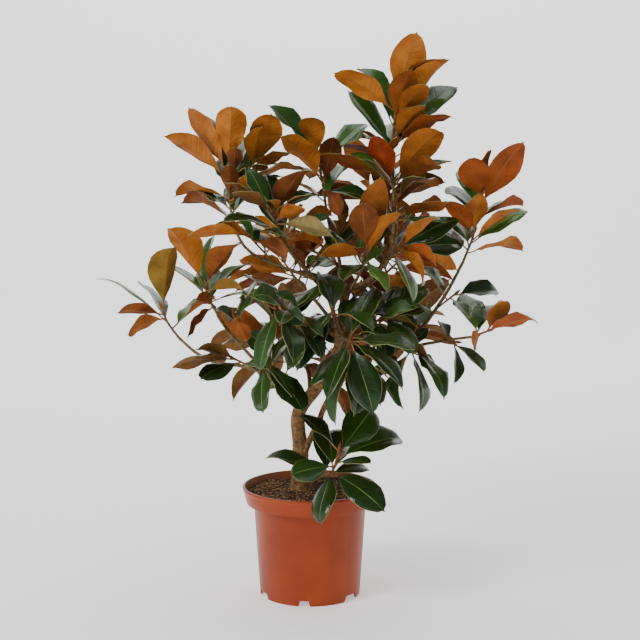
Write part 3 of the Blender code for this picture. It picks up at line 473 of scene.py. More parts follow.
class Felt(Enum):
    """The undersides' tints, from the brightest to the deepest, and a few odd ones."""

    BRIGHT = felt("felt_bright", "BC7026", "9C5618")
    AMBER = felt("felt_amber", "AC6422", "8C4D16")
    RUST = felt("felt_rust", "97521C", "7A3E12")
    EMBER = felt("felt_ember", "9F4D18", "823C10")
    DEEP = felt("felt_deep", "7C4319", "602F0F")
    UMBER = felt("felt_umber", "775026", "5C3B19")
    OLIVE = felt("felt_olive", "6E6034", "564A25")
    MUSTARD = felt("felt_mustard", "8C6820", "6F5116")
    YOUNG = felt("felt_young", "AC4416", "86300E")
    TAN = felt("felt_tan", "93804F", "7D6A3D")


class Gloss(Enum):
    """The upper sides' tints."""

    FOREST = gloss("gloss_forest", "254512", "1C380D")
    LEAF = gloss("gloss_leaf", "2E5215", "254510")
    SHADE = gloss("gloss_shade", "1B3610", "142B0B")
    FRESH = gloss("gloss_fresh", "45702A", "38601F")


MIDRIB_UPPER = Finish("midrib_upper", "6B8A3E", "5C7A34", 0.45)
MIDRIB_UNDER = Finish("midrib_under", "8C5420", "764418", 0.65)
MARGIN = Finish("leaf_margin", "8B8F4C", "777C3F", 0.5)
STALK = Finish("leaf_stalk", "8A5E2C", "744C22", 0.55)
REDDER = ("foliage_apex", "foliage_right_tall", "foliage_right_low", "foliage_right_centre")
# Painted shade: these lower, inner and rear masses take duller, darker undersides and darker greens.
PAINTED_SHADE_MASSES = ("foliage_right_hanging", "foliage_right_inner", "foliage_right_middle", "foliage_left_low",
          "foliage_left_inner", "foliage_front_left", "foliage_front_middle", "foliage_front_low",
          "foliage_left_drooping", "foliage_basal", "foliage_rear_left", "foliage_rear_right")
BLUNTER = ("foliage_basal", "foliage_front_left", "foliage_left_drooping", "foliage_left_low",
           "foliage_right_middle")
EDGE_ON = (("foliage_left_far", 0, 3),)
CRUMPLED = (("foliage_apex", 2, 3),)
ODD_LEAVES = {("foliage_left_far", 0, 0): Felt.MUSTARD, ("foliage_left_front", 0, 2): Felt.TAN,
              ("foliage_apex", 2, 3): Felt.YOUNG, ("foliage_left_middle", 0, 3): Felt.MUSTARD,
              ("foliage_front_low", 0, 4): Felt.OLIVE, ("foliage_front_low", 1, 4): Felt.OLIVE,
              ("foliage_left_middle", 0, 0): Felt.BRIGHT, ("foliage_upper_left", 0, 0): Felt.BRIGHT,
              ("foliage_apex", 2, 0): Felt.AMBER, ("foliage_right_tall", 0, 0): Felt.EMBER}


@dataclass(frozen=True)
class Leaf:
    """A leaf's root, direction, upper side's facing and shape."""

    root: Vector
    along: Vector
    face: Vector
    length: float
    width: float
    fold: float
    curl: float
    sag: float

    @property
    def bend(self) -> Vector:
        """How far the tip bends off the straight line, as a share of the length."""
        return self.face * -self.curl - UP * self.sag

    def at(self, part: float) -> tuple[Vector, Vector, Vector]:
        """The middle line's point, direction and upward normal at a part of the length."""
        past = max(part - LeafRule.petiole_part, 0.0) / (1.0 - LeafRule.petiole_part)
        bend = self.bend
        point = self.root + (self.along * part + bend * past ** 2) * self.length
        run = (self.along + bend * 2 * past).normalized()
        normal = (self.face - run * self.face.dot(run)).normalized()
        return point, run, normal


class Line:
    """A smooth line through a few points, measured along its length."""

    def __init__(self, knots: list[Vector], steps: int) -> None:
        """Lay the line.

        Args:
            knots: The points that it passes through.
            steps: How many straight parts it has between two knots.
        """
        self.knots = knots
        self.points = smooth(knots, steps)
        self.marks = [0.0]
        for one, two in zip(self.points, self.points[1:]):
            self.marks.append(self.marks[-1] + (two - one).length)
        self.length = self.marks[-1]

    def at(self, distance: float) -> tuple[Vector, Vector]:
        """The point and the direction at a distance from the start, also past the end."""
        place_in = 1
        while place_in < len(self.points) - 1 and self.marks[place_in] < distance:
            place_in += 1
        one, two = self.points[place_in - 1], self.points[place_in]
        run = (two - one).normalized()
        return one + run * (distance - self.marks[place_in - 1]), run

    def nearest(self, point: Vector) -> float:
        """The distance along the line of the point on it that is closest to this one."""
        steps = 60
        spots = [self.length * step / steps for step in range(steps + 1)]
        return min(spots, key=lambda spot: (self.at(spot)[0] - point).length)

    def finer(self, steps: int = 10) -> "Line":
        """The same line with more and shorter straight parts."""
        return Line(self.knots, steps)


def smooth(knots: list[Vector], steps: int) -> list[Vector]:
    """Points of a Catmull-Rom curve through the knots."""
    if len(knots) == 2:
        return [knots[0].lerp(knots[1], step / steps) for step in range(steps + 1)]
    ends = [knots[0] * 2 - knots[1]] + list(knots) + [knots[-1] * 2 - knots[-2]]
    points = []
    for one, two, three, four in zip(ends, ends[1:], ends[2:], ends[3:]):
        for step in range(steps):
            part = step / steps
            points.append(0.5 * (2 * two + (three - one) * part
                                 + (2 * one - 5 * two + 4 * three - four) * part ** 2
                                 + (3 * two - one - 3 * three + four) * part ** 3))
    points.append(knots[-1].copy())
    return points


def taper(length: float, girth: tuple[float, float], power: float, distance: float) -> float:
    """The radius at a distance along a line that thins from one diameter to another."""
    part = min(max(distance / length, 0.0), 1.0) ** power
    return (girth[0] + (girth[1] - girth[0]) * part) / 2


class LeafRule:
    """The source's seeded rule that draws a mass's stems and leaves."""

    length = (0.118, 0.138)
    shortest = 0.075
    slack = 1.30
    width = (0.44, 0.51)
    petiole_part = 0.13
    first_back = 0.003
    pitch = 0.0070
    shown_share = (0.62, 0.98)
    twig_radius = 0.0024
    twig_angle = math.radians(48)
    on_stem = 0.012
    root_set_off = 0.0010
    golden_angle = math.radians(137.5)
    tries = 24

    @staticmethod
    def seed(mass: MassPlan, order: int, number: int, wander: int) -> int:
        """The seed of one try at one leaf."""
        return ((mass.seed * 8 + order) * 64 + number) * 32 + wander

    @classmethod
    def make(cls, chance: random.Random, root: Vector, along: Vector, face: Vector, length: float,
             droop: float) -> Leaf:
        """A leaf whose upper side faces a way as nearly as its direction lets it."""
        level = (face - along * face.dot(along)).normalized()
        width = chance.uniform(*cls.width)
        fold = math.radians(chance.uniform(8, 32))
        curl = chance.uniform(0.02, 0.12)
        sag = chance.uniform(0.3, 1.0) * droop
        return Leaf(root + along * cls.root_set_off, along, level, length, width, fold, curl, sag)

    @classmethod
    def shown(cls, root: Vector, node: tuple[float, float, float], bearing: float, reach: float,
              share: float, upper: bool, chance: random.Random, wander: int) -> Leaf:
        """A leaf whose tip the front view shows at a bearing and reach.

        Args:
            root: Where it leaves the twig.
            node: The view place and depth that the bearing is taken from.
            bearing: Degrees clockwise from upright in the view.
            reach: How far the tip is from the node, in view units.
            share: How much of its width the view shows.
            upper: Whether its upper side is to the front.
            chance: The seeded source of its shape.
            wander: The number of the try, which lets it stray further.

        Returns:
            The leaf.
        """
        turn = math.radians(bearing + chance.uniform(-1.2, 1.2) * wander)
        reach = reach * (1.0 - 0.006 * wander)
        spot = (node[0] + reach * math.sin(turn), node[1] - reach * math.cos(turn))
        across = (VIEW.place(*spot, node[2]) - root).length
        longest = max(across * cls.slack, cls.shortest) * (1.0 - 0.012 * wander)
        length = max(min(chance.uniform(*cls.length), longest), across * 1.02)
        lean = math.sqrt(length ** 2 - across ** 2)
        forward = not upper or abs(bearing) > 90
        tip = VIEW.place(*spot, node[2] - lean if forward else node[2] + lean)
        aim = (tip - root).normalized()
        view = (Vector(VIEW.point) - root).normalized()
        view = (view - aim * view.dot(aim)).normalized()
        side = aim.cross(view)
        if side.z < 0:
            side = -side
        share = share or chance.uniform(*cls.shown_share)
        face = (view if upper else -view) * share + side * math.sqrt(1.0 - share ** 2)
        droop = 0.22 if abs(bearing) > 100 else 0.05
        leaf = cls.make(chance, root, aim, face, length, droop)
        straight = (tip - root) / length - leaf.bend
        return replace(leaf, along=straight.normalized(), length=length * straight.length)

    @classmethod
    def whorl(cls, root: Vector, run: Vector, count: int, number: int, spin: float, rearward: bool,
              chance: random.Random, wander: int) -> Leaf:
        """A leaf of a whorl: turned by the golden angle, and spreading wider the older it is."""
        axis = (run + UP * 0.35).normalized()
        first = axis.cross(FRONT if abs(axis.dot(FRONT)) < 0.9 else UP).normalized()
        second = axis.cross(first)
        turn = spin + number * cls.golden_angle
        if rearward:
            axis = UP * 0.8 - FRONT * 0.5
            first, second = Vector((1.0, 0.0, 0.0)), -FRONT
            turn = math.radians(90) + math.sin(turn) * math.radians(62)
        turn += math.radians(chance.uniform(-3, 3) * wander)
        spread = math.radians(32 + 60 * number / max(count, 3) + chance.uniform(-8, 8))
        outward = first * math.cos(turn) + second * math.sin(turn)
        along = (axis.normalized() * math.cos(spread) + outward * math.sin(spread)).normalized()
        length = chance.uniform(*cls.length)
        return cls.make(chance, root, along, axis + UP * 0.2, length, 0.12)

    @classmethod
    def fan(cls, mass: MassPlan, order: int, line: Line, spot: float) -> Iterator[Callable[..., Leaf]]:
        """What draws each leaf of a fan, from the node down."""
        fan = mass.fans[order]
        spin = random.Random(cls.seed(mass, order, 0, 0)).uniform(0.0, math.tau)
        shown = [(*leaf, False) for leaf in fan.under] + [(*leaf, True) for leaf in fan.top]
        count = fan.rear + fan.whorl
        total = len(shown) + count
        step = min(cls.pitch, (spot - line.length * 0.12) / total)
        for number in range(total):
            root, run = line.at(spot - cls.first_back - step * number)
            if number < len(shown):
                yield partial(cls.shown, root, fan.node, *shown[number])
            else:
                yield partial(cls.whorl, root, run, count, number - len(shown), spin, fan.rear > 0)

    @classmethod
    def side_twig(cls, stem: Line, node: Vector, chance: random.Random) -> Line:
        """The line of a twig that leaves a stem at about half a right angle and bows up to a node."""
        spots = [stem.length * step / 24 for step in range(1, 24)]

        def slant(spot: float) -> float:
            """How far the twig would be from its usual angle if it left the stem there."""
            point, run = stem.at(spot)
            return abs((node - point).angle(run) - cls.twig_angle)

        point, run = stem.at(min(spots, key=slant))
        reach = (node - point).length
        middle = point.lerp(node, 0.5) + run * reach * chance.uniform(0.06, 0.14)
        return Line([point, middle, node], 2)


class Skeleton:
    """The lines of the trunk, the second stem and every bough, with their diameters."""

    def __init__(self) -> None:
        """Lay all limbs in the table's order."""
        self.lines: dict[str, Line] = {}
        self.girths: dict[str, tuple[float, float]] = {}
        self.parents: dict[str, str | None] = {}
        self.starts: dict[str, float] = {}
        knots = [TRUNK_FOOT, TRUNK_FOOT + UP * TRUNK_RISE] + [VIEW.place(*spot) for spot in TRUNK_BENDS]
        line = Line(knots, 2)
        line.points[1].x, line.points[1].y = TRUNK_FOOT.x, TRUNK_FOOT.y
        self.keep("trunk", None, 0.0, line, TRUNK_GIRTH)
        self.add(LimbPlan("stem_second", "trunk", SECOND_FORK, SECOND_BENDS, SECOND_GIRTH))
        for plan in LIMBS:
            self.add(plan)

    def keep(self, name: str, parent: str | None, start: float, line: Line,
             girth: tuple[float, float]) -> None:
        """Remember one limb."""
        self.lines[name] = line
        self.girths[name] = girth
        self.parents[name] = parent
        self.starts[name] = start

    def add(self, plan: LimbPlan) -> None:
        """Lay one limb from its parent."""
        knots = [self.start_of(plan.parent, plan.start)] + [VIEW.place(*spot) for spot in plan.bends]
        self.keep(plan.name, plan.parent, plan.start, Line(knots, 2), plan.girth)

    def start_of(self, parent: str, start: float) -> Vector:
        """Where growth leaves its parent: on its line, or just past its tip."""
        line = self.lines[parent]
        if start < 1.0:
            return line.at(line.length * start)[0]
        point, run = line.at(line.length)
        return point + run * GAP

    def radius(self, name: str, distance: float) -> float:
        """A limb's plain radius at a distance along it."""
        power = 1.0 if name == "trunk" else 0.8
        return taper(self.lines[name].length, self.girths[name], power, distance)


@dataclass(frozen=True)
class TubeCut:
    """How finely a tube is cut: sides round it, the distance between rings and its domed ends."""

    sides: int = 16
    pitch: float = 0.0025
    dome_rings: int = 3


def add_tube(shape: bmesh.types.BMesh, line: Line, radius: Callable[[float], float], cut: TubeCut,
             relief: Callable[[Vector, float, float], float] | None = None, slot: int = 0) -> None:
    """Add a closed tube with domed ends along a line.

    Args:
        shape: The mesh that it goes into.
        line: The line that it follows.
        radius: Its radius at a distance along the line.
        cut: How finely it is cut.
        relief: Adds to the radius at an axis point, an angle and a distance.
        slot: The material slot of its faces.
    """
    middle = max(3, round(line.length / cut.pitch))
    spots = [(line.length * step / middle, 1.0) for step in range(middle + 1)]
    start, end = radius(0.0), radius(line.length)
    turns = [math.pi / 2 * step / cut.dome_rings for step in range(1, cut.dome_rings + 1)]
    head = [(-start * 0.8 * math.sin(turn), max(math.cos(turn), 0.0)) for turn in reversed(turns)]
    tail = [(line.length + end * 0.8 * math.sin(turn), max(math.cos(turn), 0.0)) for turn in turns]
    spots = head + spots + tail
    made = bmesh.ops.create_grid(shape, x_segments=cut.sides, y_segments=len(spots) - 1, size=1.0)
    rows = sorted({round(vert.co.y, 5) for vert in made["verts"]})
    row_of = {level: row for row, level in enumerate(rows)}
    normal = None
    frames = []
    for distance, share in spots:
        point, run = line.at(distance) if distance > 0 else (line.at(0.0)[0], line.at(0.0)[1])
        if distance < 0:
            point = point + run * distance
        if normal is None:
            normal = run.orthogonal()
        normal = (normal - run * normal.dot(run)).normalized()
        frames.append((point, normal.copy(), run.cross(normal), distance, share))
    for vert in made["verts"]:
        point, first, second, distance, share = frames[row_of[round(vert.co.y, 5)]]
        angle = math.pi * (vert.co.x + 1.0)
        inside = min(max(distance, 0.0), line.length)
        reach = radius(inside)
        if relief:
            reach += relief(point, angle % math.tau, inside)
        reach *= share
        vert.co = point + (first * math.cos(angle) + second * math.sin(angle)) * reach
    faces = {face for vert in made["verts"] for face in vert.link_faces}
    for face in faces:
        face.material_index = slot
        face.smooth = True
    bmesh.ops.remove_doubles(shape, verts=made["verts"], dist=0.0000015)


def publish(name: str, shape: bmesh.types.BMesh, finishes: list[bpy.types.Material], slot: str,
            nodes: tuple[str, ...] = (), crease: float = 50.0) -> bpy.types.Object:
    """Make a finished piece of a mesh, let it ride on the plant's body and hide the CAD nodes that it replaces.

    Args:
        name: The piece's name.
        shape: Its mesh, which is freed.
        finishes: Its materials, by slot.
        slot: Not used.
        nodes: The CAD nodes that it replaces.
        crease: Edges sharper than this many degrees are shaded sharp.

    Returns:
        The piece.
    """
    mesh = bpy.data.meshes.new(name)
    bmesh.ops.recalc_face_normals(shape, faces=shape.faces)
    shape.to_mesh(mesh)
    shape.free()
    return publish_mesh(name, mesh, finishes, slot, nodes, crease)


def publish_mesh(name: str, mesh: bpy.types.Mesh, finishes: list[bpy.types.Material], slot: str,
                 nodes: tuple[str, ...] = (), crease: float = 50.0) -> bpy.types.Object:
    """As publish, for a mesh that is whole already."""
    for finish in finishes:
        mesh.materials.append(finish)
    mesh.shade_smooth()
    mesh.set_sharp_from_angle(angle=math.radians(crease))
    piece = bpy.data.objects.new(name, mesh)
    bpy.context.scene.collection.objects.link(piece)
    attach(piece, BODY)
    if nodes:
        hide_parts(*nodes)
    log.info("%s: %d faces", name, len(mesh.polygons))
    return piece


class BarkFinish:
    """The grey-brown bark, with fine cracks, dark flecks and paler patches."""

    def __init__(self, name: str, pale: str, mid: str, dark: str, scale: float) -> None:
        """Choose three tones and how fine the pattern is, in waves to the metre."""
        self.name = name
        self.tones = (pale, mid, dark)
        self.scale = scale

    def material(self) -> bpy.types.Material:
        """The bark as a node material."""
        made = bpy.data.materials.get(self.name)
        if made:
            return made
        made = bpy.data.materials.new(self.name)
        made.use_nodes = True
        tree = made.node_tree
        shader = tree.nodes["Principled BSDF"]
        shader.inputs["Roughness"].default_value = 0.82
        shader.inputs["Specular IOR Level"].default_value = 0.3
        cloud = noise_node(tree, self.scale, 6.0)
        cloud.inputs["Roughness"].default_value = 0.65
        ramp = tree.nodes.new("ShaderNodeValToRGB")
        stops = ramp.color_ramp.elements
        stops[0].position, stops[0].color = 0.36, (*srgb(self.tones[2]), 1.0)
        stops[1].position, stops[1].color = 0.64, (*srgb(self.tones[0]), 1.0)
        middle = stops.new(0.49)
        middle.color = (*srgb(self.tones[1]), 1.0)
        tree.links.new(cloud.outputs["Fac"], ramp.inputs["Fac"])
        tree.links.new(ramp.outputs["Color"], shader.inputs["Base Color"])
        fine = bump_node(tree, noise_node(tree, self.scale * 9, 4.0).outputs["Fac"], 0.0006)
        tree.links.new(fine.outputs["Normal"], shader.inputs["Normal"])
        return made


OLD_BARK = BarkFinish("bark_old", "987548", "785A37", "4F3A23", 170.0)
BOUGH_BARK = BarkFinish("bark_bough", "85714A", "6E5938", "4C3923", 170.0)
YOUNG_BARK = BarkFinish("bark_young", "8E5832", "774625", "52301A", 150.0)


@dataclass
class Woodwork:
    """The trunk, the second stem and the boughs as meshes with the bark's relief."""

    skeleton: Skeleton
    trunk_cut: TubeCut = TubeCut(48, 0.0018)
    bough_cut: TubeCut = TubeCut(18, 0.0022)
    flare_gain: float = 0.42
    flare_fall: float = 0.014
    collar_gain: float = 0.45
    collar_fall: float = 0.007
    sunk: float = 0.008
    fissure: float = 0.0011
    scar_pitch: float = 0.017
    scar_height: float = 0.00045

    def radius(self, name: str, distance: float) -> float:
        """A limb's radius with its root flare, fork collar or blend into its parent's tip."""
        base = self.skeleton.radius(name, distance)
        if name == "trunk":
            return base * (1 + self.flare_gain * math.exp(-distance / self.flare_fall))
        parent, start = self.skeleton.parents[name], self.skeleton.starts[name]
        parent_radius = self.skeleton.radius(parent, self.skeleton.lines[parent].length * start)
        own = self.skeleton.radius(name, 0.0)
        if start >= 1.0:
            return base + (parent_radius - own) * math.exp(-distance / 0.02)
        past = max(distance - parent_radius, 0.0)
        return base * (1 + self.collar_gain * math.exp(-past / self.collar_fall))

    def relief(self, name: str, point: Vector, angle: float, distance: float) -> float:
        """How far the bark stands out at a place: cracks along the trunk, leaf scars on boughs."""
        round_trip = Vector((math.cos(angle), math.sin(angle), 0.0))
        size = self.radius(name, distance)
        if name in ("trunk", "stem_second"):
            crack = noise.noise(round_trip * 3.2 + UP * distance * 45)
            fine = noise.noise(round_trip * 9.0 + UP * distance * 160)
            lump = noise.noise(round_trip * 1.1 + UP * distance * 18)
            depth = self.fissure * min(size / 0.012, 1.2)
            return depth * (0.5 * crack + 0.35 * fine + 0.9 * lump)
        along = distance / self.scar_pitch + 0.35 * math.sin(angle)
        ring = math.exp(-((along % 1.0 - 0.5) / 0.07) ** 2)
        fine = noise.noise(round_trip * 5.0 + UP * distance * 220 + point * 3)
        return self.scar_height * ring + 0.00022 * fine

    def lower_foot(self, line: Line) -> Line:
        """The trunk's line with its foot taken a little below the soil."""
        knots = [line.knots[0] - UP * self.sunk] + line.knots[1:]
        return Line(knots, 10)

    def add_limb(self, shape: bmesh.types.BMesh, name: str, cut: TubeCut) -> None:
        """Add one limb's tube to a mesh."""
        line = self.skeleton.lines[name]
        fine = self.lower_foot(line) if name == "trunk" else line.finer()
        shift = self.sunk if name == "trunk" else 0.0
        add_tube(shape, fine, lambda distance: self.radius(name, max(distance - shift, 0.0)), cut,
                 lambda point, angle, distance: self.relief(name, point, angle, distance))

    def build(self) -> list[bpy.types.Object]:
        """Make the trunk, the second stem and the joined boughs, and return these pieces."""
        pieces = []
        for name in ("trunk", "stem_second"):
            shape = bmesh.new()
            self.add_limb(shape, name, self.trunk_cut if name == "trunk" else TubeCut(28, 0.002))
            pieces.append(publish(f"{name}_bark", shape, [OLD_BARK.material()], "bark", (name,), 80.0))
        shape = bmesh.new()
        boughs = tuple(plan.name for plan in LIMBS)
        for name in boughs:
            self.add_limb(shape, name, self.bough_cut)
        pieces.append(publish("boughs_bark", shape, [BOUGH_BARK.material()], "bark", boughs, 80.0))
        return pieces


class Zone(Enum):
    """The parts of a leaf that take a finish of their own, as material slots in a spray."""

    UPPER = 0
    UNDER = 1
    MIDRIB_UPPER = 2
    MIDRIB_UNDER = 3
    MARGIN = 4
    STALK = 5


def closest(values: tuple[float, ...], wanted: float) -> float:
    """The one of some values that is closest to a wanted one."""
    return min(values, key=lambda value: abs(value - wanted))


@dataclass(frozen=True)
class Blank:
    """A flat leaf of unit size: its points as (across, along, side), faces, zones and cell places."""

    points: list[tuple[float, float, int]]
    faces: list[tuple[int, ...]]
    zones: list[Zone]
    cells: list[list[tuple[int, float, float]]]


@dataclass(frozen=True)
class Habit:
    """How one leaf strays from the usual: waves, rolled edges, twist, sway, hooked tip and outline."""

    phases: tuple[float, float]
    waves: float
    height: float
    revolute: float
    recurve: float
    twist: float
    sway: float
    widest: float
    tip_power: float


@dataclass(frozen=True)
class LeafForm:
    """The leaf's true outline, thickness and waves, and the blank that each leaf is bent from."""

    columns: tuple[float, ...] = (-1.0, -0.55, -0.026, 0.026, 0.55, 1.0)
    rows: tuple[float, ...] = (0.0, 0.13, 0.18, 0.27, 0.39, 0.51, 0.63, 0.74, 0.84, 0.905, 0.945, 0.966, 1.0)
    rib_half: float = 0.026
    upper_share: float = 0.972
    slimness: float = 0.98
    deeper_fold: float = 1.20
    widest: tuple[float, float] = (0.48, 0.59)
    tip_power: tuple[float, float] = (0.66, 0.98)
    base_power: float = 1.0
    point_part: float = 0.95
    point_share: float = 0.12
    stalk_half: float = 0.0012
    stalk_thick: float = 0.0021
    blade_thick: float = 0.0007
    rib_height: float = 0.0008
    tip_half: float = 0.0003
    wave: float = 0.030
    revolute: float = 0.26
    tip_recurve: float = 0.12
    recurve_from: float = 0.62
    twist: float = math.radians(20)
    sway: float = 0.055

    def habit(self, chance: random.Random) -> Habit:
        """Draw how one leaf strays from the usual."""
        return Habit((chance.uniform(0, math.tau), chance.uniform(0, math.tau)), chance.uniform(1.2, 2.4),
                     self.wave * chance.uniform(0.3, 1.3), self.revolute * chance.uniform(0.2, 1.3),
                     self.tip_recurve * chance.uniform(-0.1, 1.0), self.twist * chance.uniform(-1, 1),
                     self.sway * chance.uniform(-1, 1), chance.uniform(*self.widest), chance.uniform(*self.tip_power))

    def blank(self) -> Blank:
        """Make the blank from a grid, its copy below it and the rim between them."""
        shape = bmesh.new()
        across, along = len(self.columns) - 1, len(self.rows) - 1
        bmesh.ops.create_grid(shape, x_segments=across, y_segments=along, size=1.0)
        columns = {round(-1 + 2 * place / across, 4): value for place, value in enumerate(self.columns)}
        rows = {round(-1 + 2 * place / along, 4): value for place, value in enumerate(self.rows)}
        for vert in shape.verts:
            vert.co = (columns[round(vert.co.x, 4)], rows[round(vert.co.y, 4)], 0.0)
        copy = bmesh.ops.duplicate(shape, geom=shape.verts[:] + shape.edges[:] + shape.faces[:])
        under = [item for item in copy["geom"] if isinstance(item, bmesh.types.BMFace)]
        bmesh.ops.reverse_faces(shape, faces=under)
        bmesh.ops.translate(shape, vec=(0.0, 0.0, -1.0), verts=[item for item in copy["geom"]
                                                               if isinstance(item, bmesh.types.BMVert)])
        rims = [edge for edge in shape.edges if edge.is_boundary]
        bmesh.ops.bridge_loops(shape, edges=rims)
        bmesh.ops.recalc_face_normals(shape, faces=shape.faces)
        shape.verts.index_update()
        points = [(closest(self.columns, vert.co.x), closest(self.rows, vert.co.y), round(vert.co.z))
                  for vert in shape.verts]
        faces = [tuple(vert.index for vert in face.verts) for face in shape.faces]
        shape.free()
        zones = [self.zone([points[index] for index in face]) for face in faces]
        cells = [self.cell([points[index] for index in face]) for face in faces]
        return Blank(points, faces, zones, cells)

    def zone(self, corners: list[tuple[float, float, int]]) -> Zone:
        """The zone of a face of the blank."""
        sides = {corner[2] for corner in corners}
        across = abs(sum(corner[0] for corner in corners)) / len(corners)
        along = sum(corner[1] for corner in corners) / len(corners)
        if along < LeafRule.petiole_part:
            return Zone.STALK
        if len(sides) > 1:
            return Zone.MARGIN
        if across < self.rib_half:
            return Zone.MIDRIB_UPPER if sides == {0} else Zone.MIDRIB_UNDER
        return Zone.UPPER if sides == {0} else Zone.UNDER

    def cell(self, corners: list[tuple[float, float, int]]) -> list[tuple[int, float, float]]:
        """Where each corner of a face lies in its sheet's cell: which sheet, across and along."""
        rim = len({corner[2] for corner in corners}) > 1
        sheet = 0 if rim else -corners[0][2]
        places = []
        for across, along, side in corners:
            out = 1.05 if rim and side else 1.0
            places.append((sheet, 0.5 + 0.44 * across * out, 0.5 + 0.44 * (2 * along - 1) * out))
        return places

    def half_width(self, leaf: Leaf, part: float, habit: Habit) -> float:
        """Half the leaf's width at a part of its length: a wedge, a full end and a short point."""
        if part <= LeafRule.petiole_part:
            return self.stalk_half
        along = (part - LeafRule.petiole_part) / (1 - LeafRule.petiole_part)
        if part > self.point_part:
            share = self.point_share * (1 - part) / (1 - self.point_part)
        elif along < habit.widest:
            share = math.sin(math.pi / 2 * along / habit.widest) ** self.base_power
        else:
            share = math.cos(math.pi / 2 * (along - habit.widest) / (1 - habit.widest)) ** habit.tip_power
        ends = self.stalk_half * (1 - along) + self.tip_half * along
        return max(leaf.width * self.slimness * leaf.length * share / 2, ends)

    def bent(self, blank: Blank, leaf: Leaf, chance: random.Random) -> list[Vector]:
        """Bend the blank to one leaf.

        Args:
            blank: The flat leaf.
            leaf: The leaf's line, facing and shape.
            chance: The seeded source of its waves, twist and tip.

        Returns:
            The blank's points where they end up, in the row frame.
        """
        habit = self.habit(chance)
        fold = leaf.fold * self.deeper_fold
        frames = {row: (*leaf.at(row), self.half_width(leaf, row, habit)) for row in self.rows}
        bent = []
        for across, part, side in blank.points:
            point, run, level, half = frames[part]
            past = max(part - LeafRule.petiole_part, 0.0) / (1 - LeafRule.petiole_part)
            turn = habit.twist * past
            flat = run.cross(level)
            normal = level * math.cos(turn) + flat * math.sin(turn)
            sideways = run.cross(normal)
            reach = abs(across)
            swell = math.sin(math.pi * min(past, 1.0))
            ripple = math.sin(math.tau * habit.waves * past + habit.phases[across > 0])
            rise = half * (reach * math.sin(fold) - habit.revolute * reach ** 3)
            rise += leaf.length * habit.height * reach ** 2 * swell * ripple
            hooked = max(past - self.recurve_from, 0.0) / (1 - self.recurve_from)
            rise -= leaf.length * habit.recurve * hooked ** 2.5
            drop = 0.0
            out = across * half * math.cos(fold)
            if side:
                rib = self.rib_height * (1 - past) * min(past * 8, 1.0) if reach < 0.1 else 0.0
                drop = (self.blade_thick if past > 0 else self.stalk_thick) + rib
            elif reach > 0.9:
                out *= self.upper_share
            out += leaf.length * habit.sway * (past ** 2 - 0.55 * past)
            bent.append(point + sideways * out + normal * (rise - drop))
        return bent


@dataclass
class Spray:
    """The leaves of one mass, joined into one mesh from arrays."""

    blank: Blank
    points: list[Vector] = field(default_factory=list)
    faces: list[tuple[int, ...]] = field(default_factory=list)
    slots: list[int] = field(default_factory=list)
    finishes: list[Finish] = field(default_factory=list)
    corners: list[tuple[int, float, float]] = field(default_factory=list)
    count: int = 0

    def slot(self, finish: Finish) -> int:
        """The material slot of a finish, new if the spray hasn't used it yet."""
        if finish not in self.finishes:
            self.finishes.append(finish)
        return self.finishes.index(finish)

    def add(self, points: list[Vector], upper: Finish, under: Finish) -> None:
        """Add one leaf with its two sides' finishes."""
        base = len(self.points)
        self.points += points
        by_zone = {Zone.UPPER: upper, Zone.UNDER: under, Zone.MIDRIB_UPPER: MIDRIB_UPPER,
                   Zone.MIDRIB_UNDER: MIDRIB_UNDER, Zone.MARGIN: MARGIN, Zone.STALK: STALK}
        slots = {zone: self.slot(finish) for zone, finish in by_zone.items()}
        for face, zone, cell in zip(self.blank.faces, self.blank.zones, self.blank.cells):
            self.faces.append(tuple(base + index for index in face))
            self.slots.append(slots[zone])
            self.corners += [(self.count * 2 + sheet, across, along) for sheet, across, along in cell]
        self.count += 1

    def mesh(self, name: str) -> bpy.types.Mesh:
        """The joined mesh, with a map that gives each leaf's two sides a cell each."""
        mesh = bpy.data.meshes.new(name)
        mesh.from_pydata(self.points, [], self.faces)
        mesh.polygons.foreach_set("material_index", self.slots)
        wide = max(1, math.ceil(math.sqrt(self.count * 2 * 2.2)))
        high = max(1, math.ceil(self.count * 2 / wide))
        layer = mesh.uv_layers.new(name="OFBake")
        flat = []
        for sheet, across, along in self.corners:
            flat += [(sheet % wide + across) / wide, (sheet // wide + along) / high]
        layer.data.foreach_set("uv", flat)
        blade = mesh.attributes.new("blade", "FLOAT_VECTOR", "POINT")
        places = [value for across, along, _ in self.blank.points for value in (across, along, 0.0)]
        blade.data.foreach_set("vector", places * self.count)
        mesh.update()
        return mesh


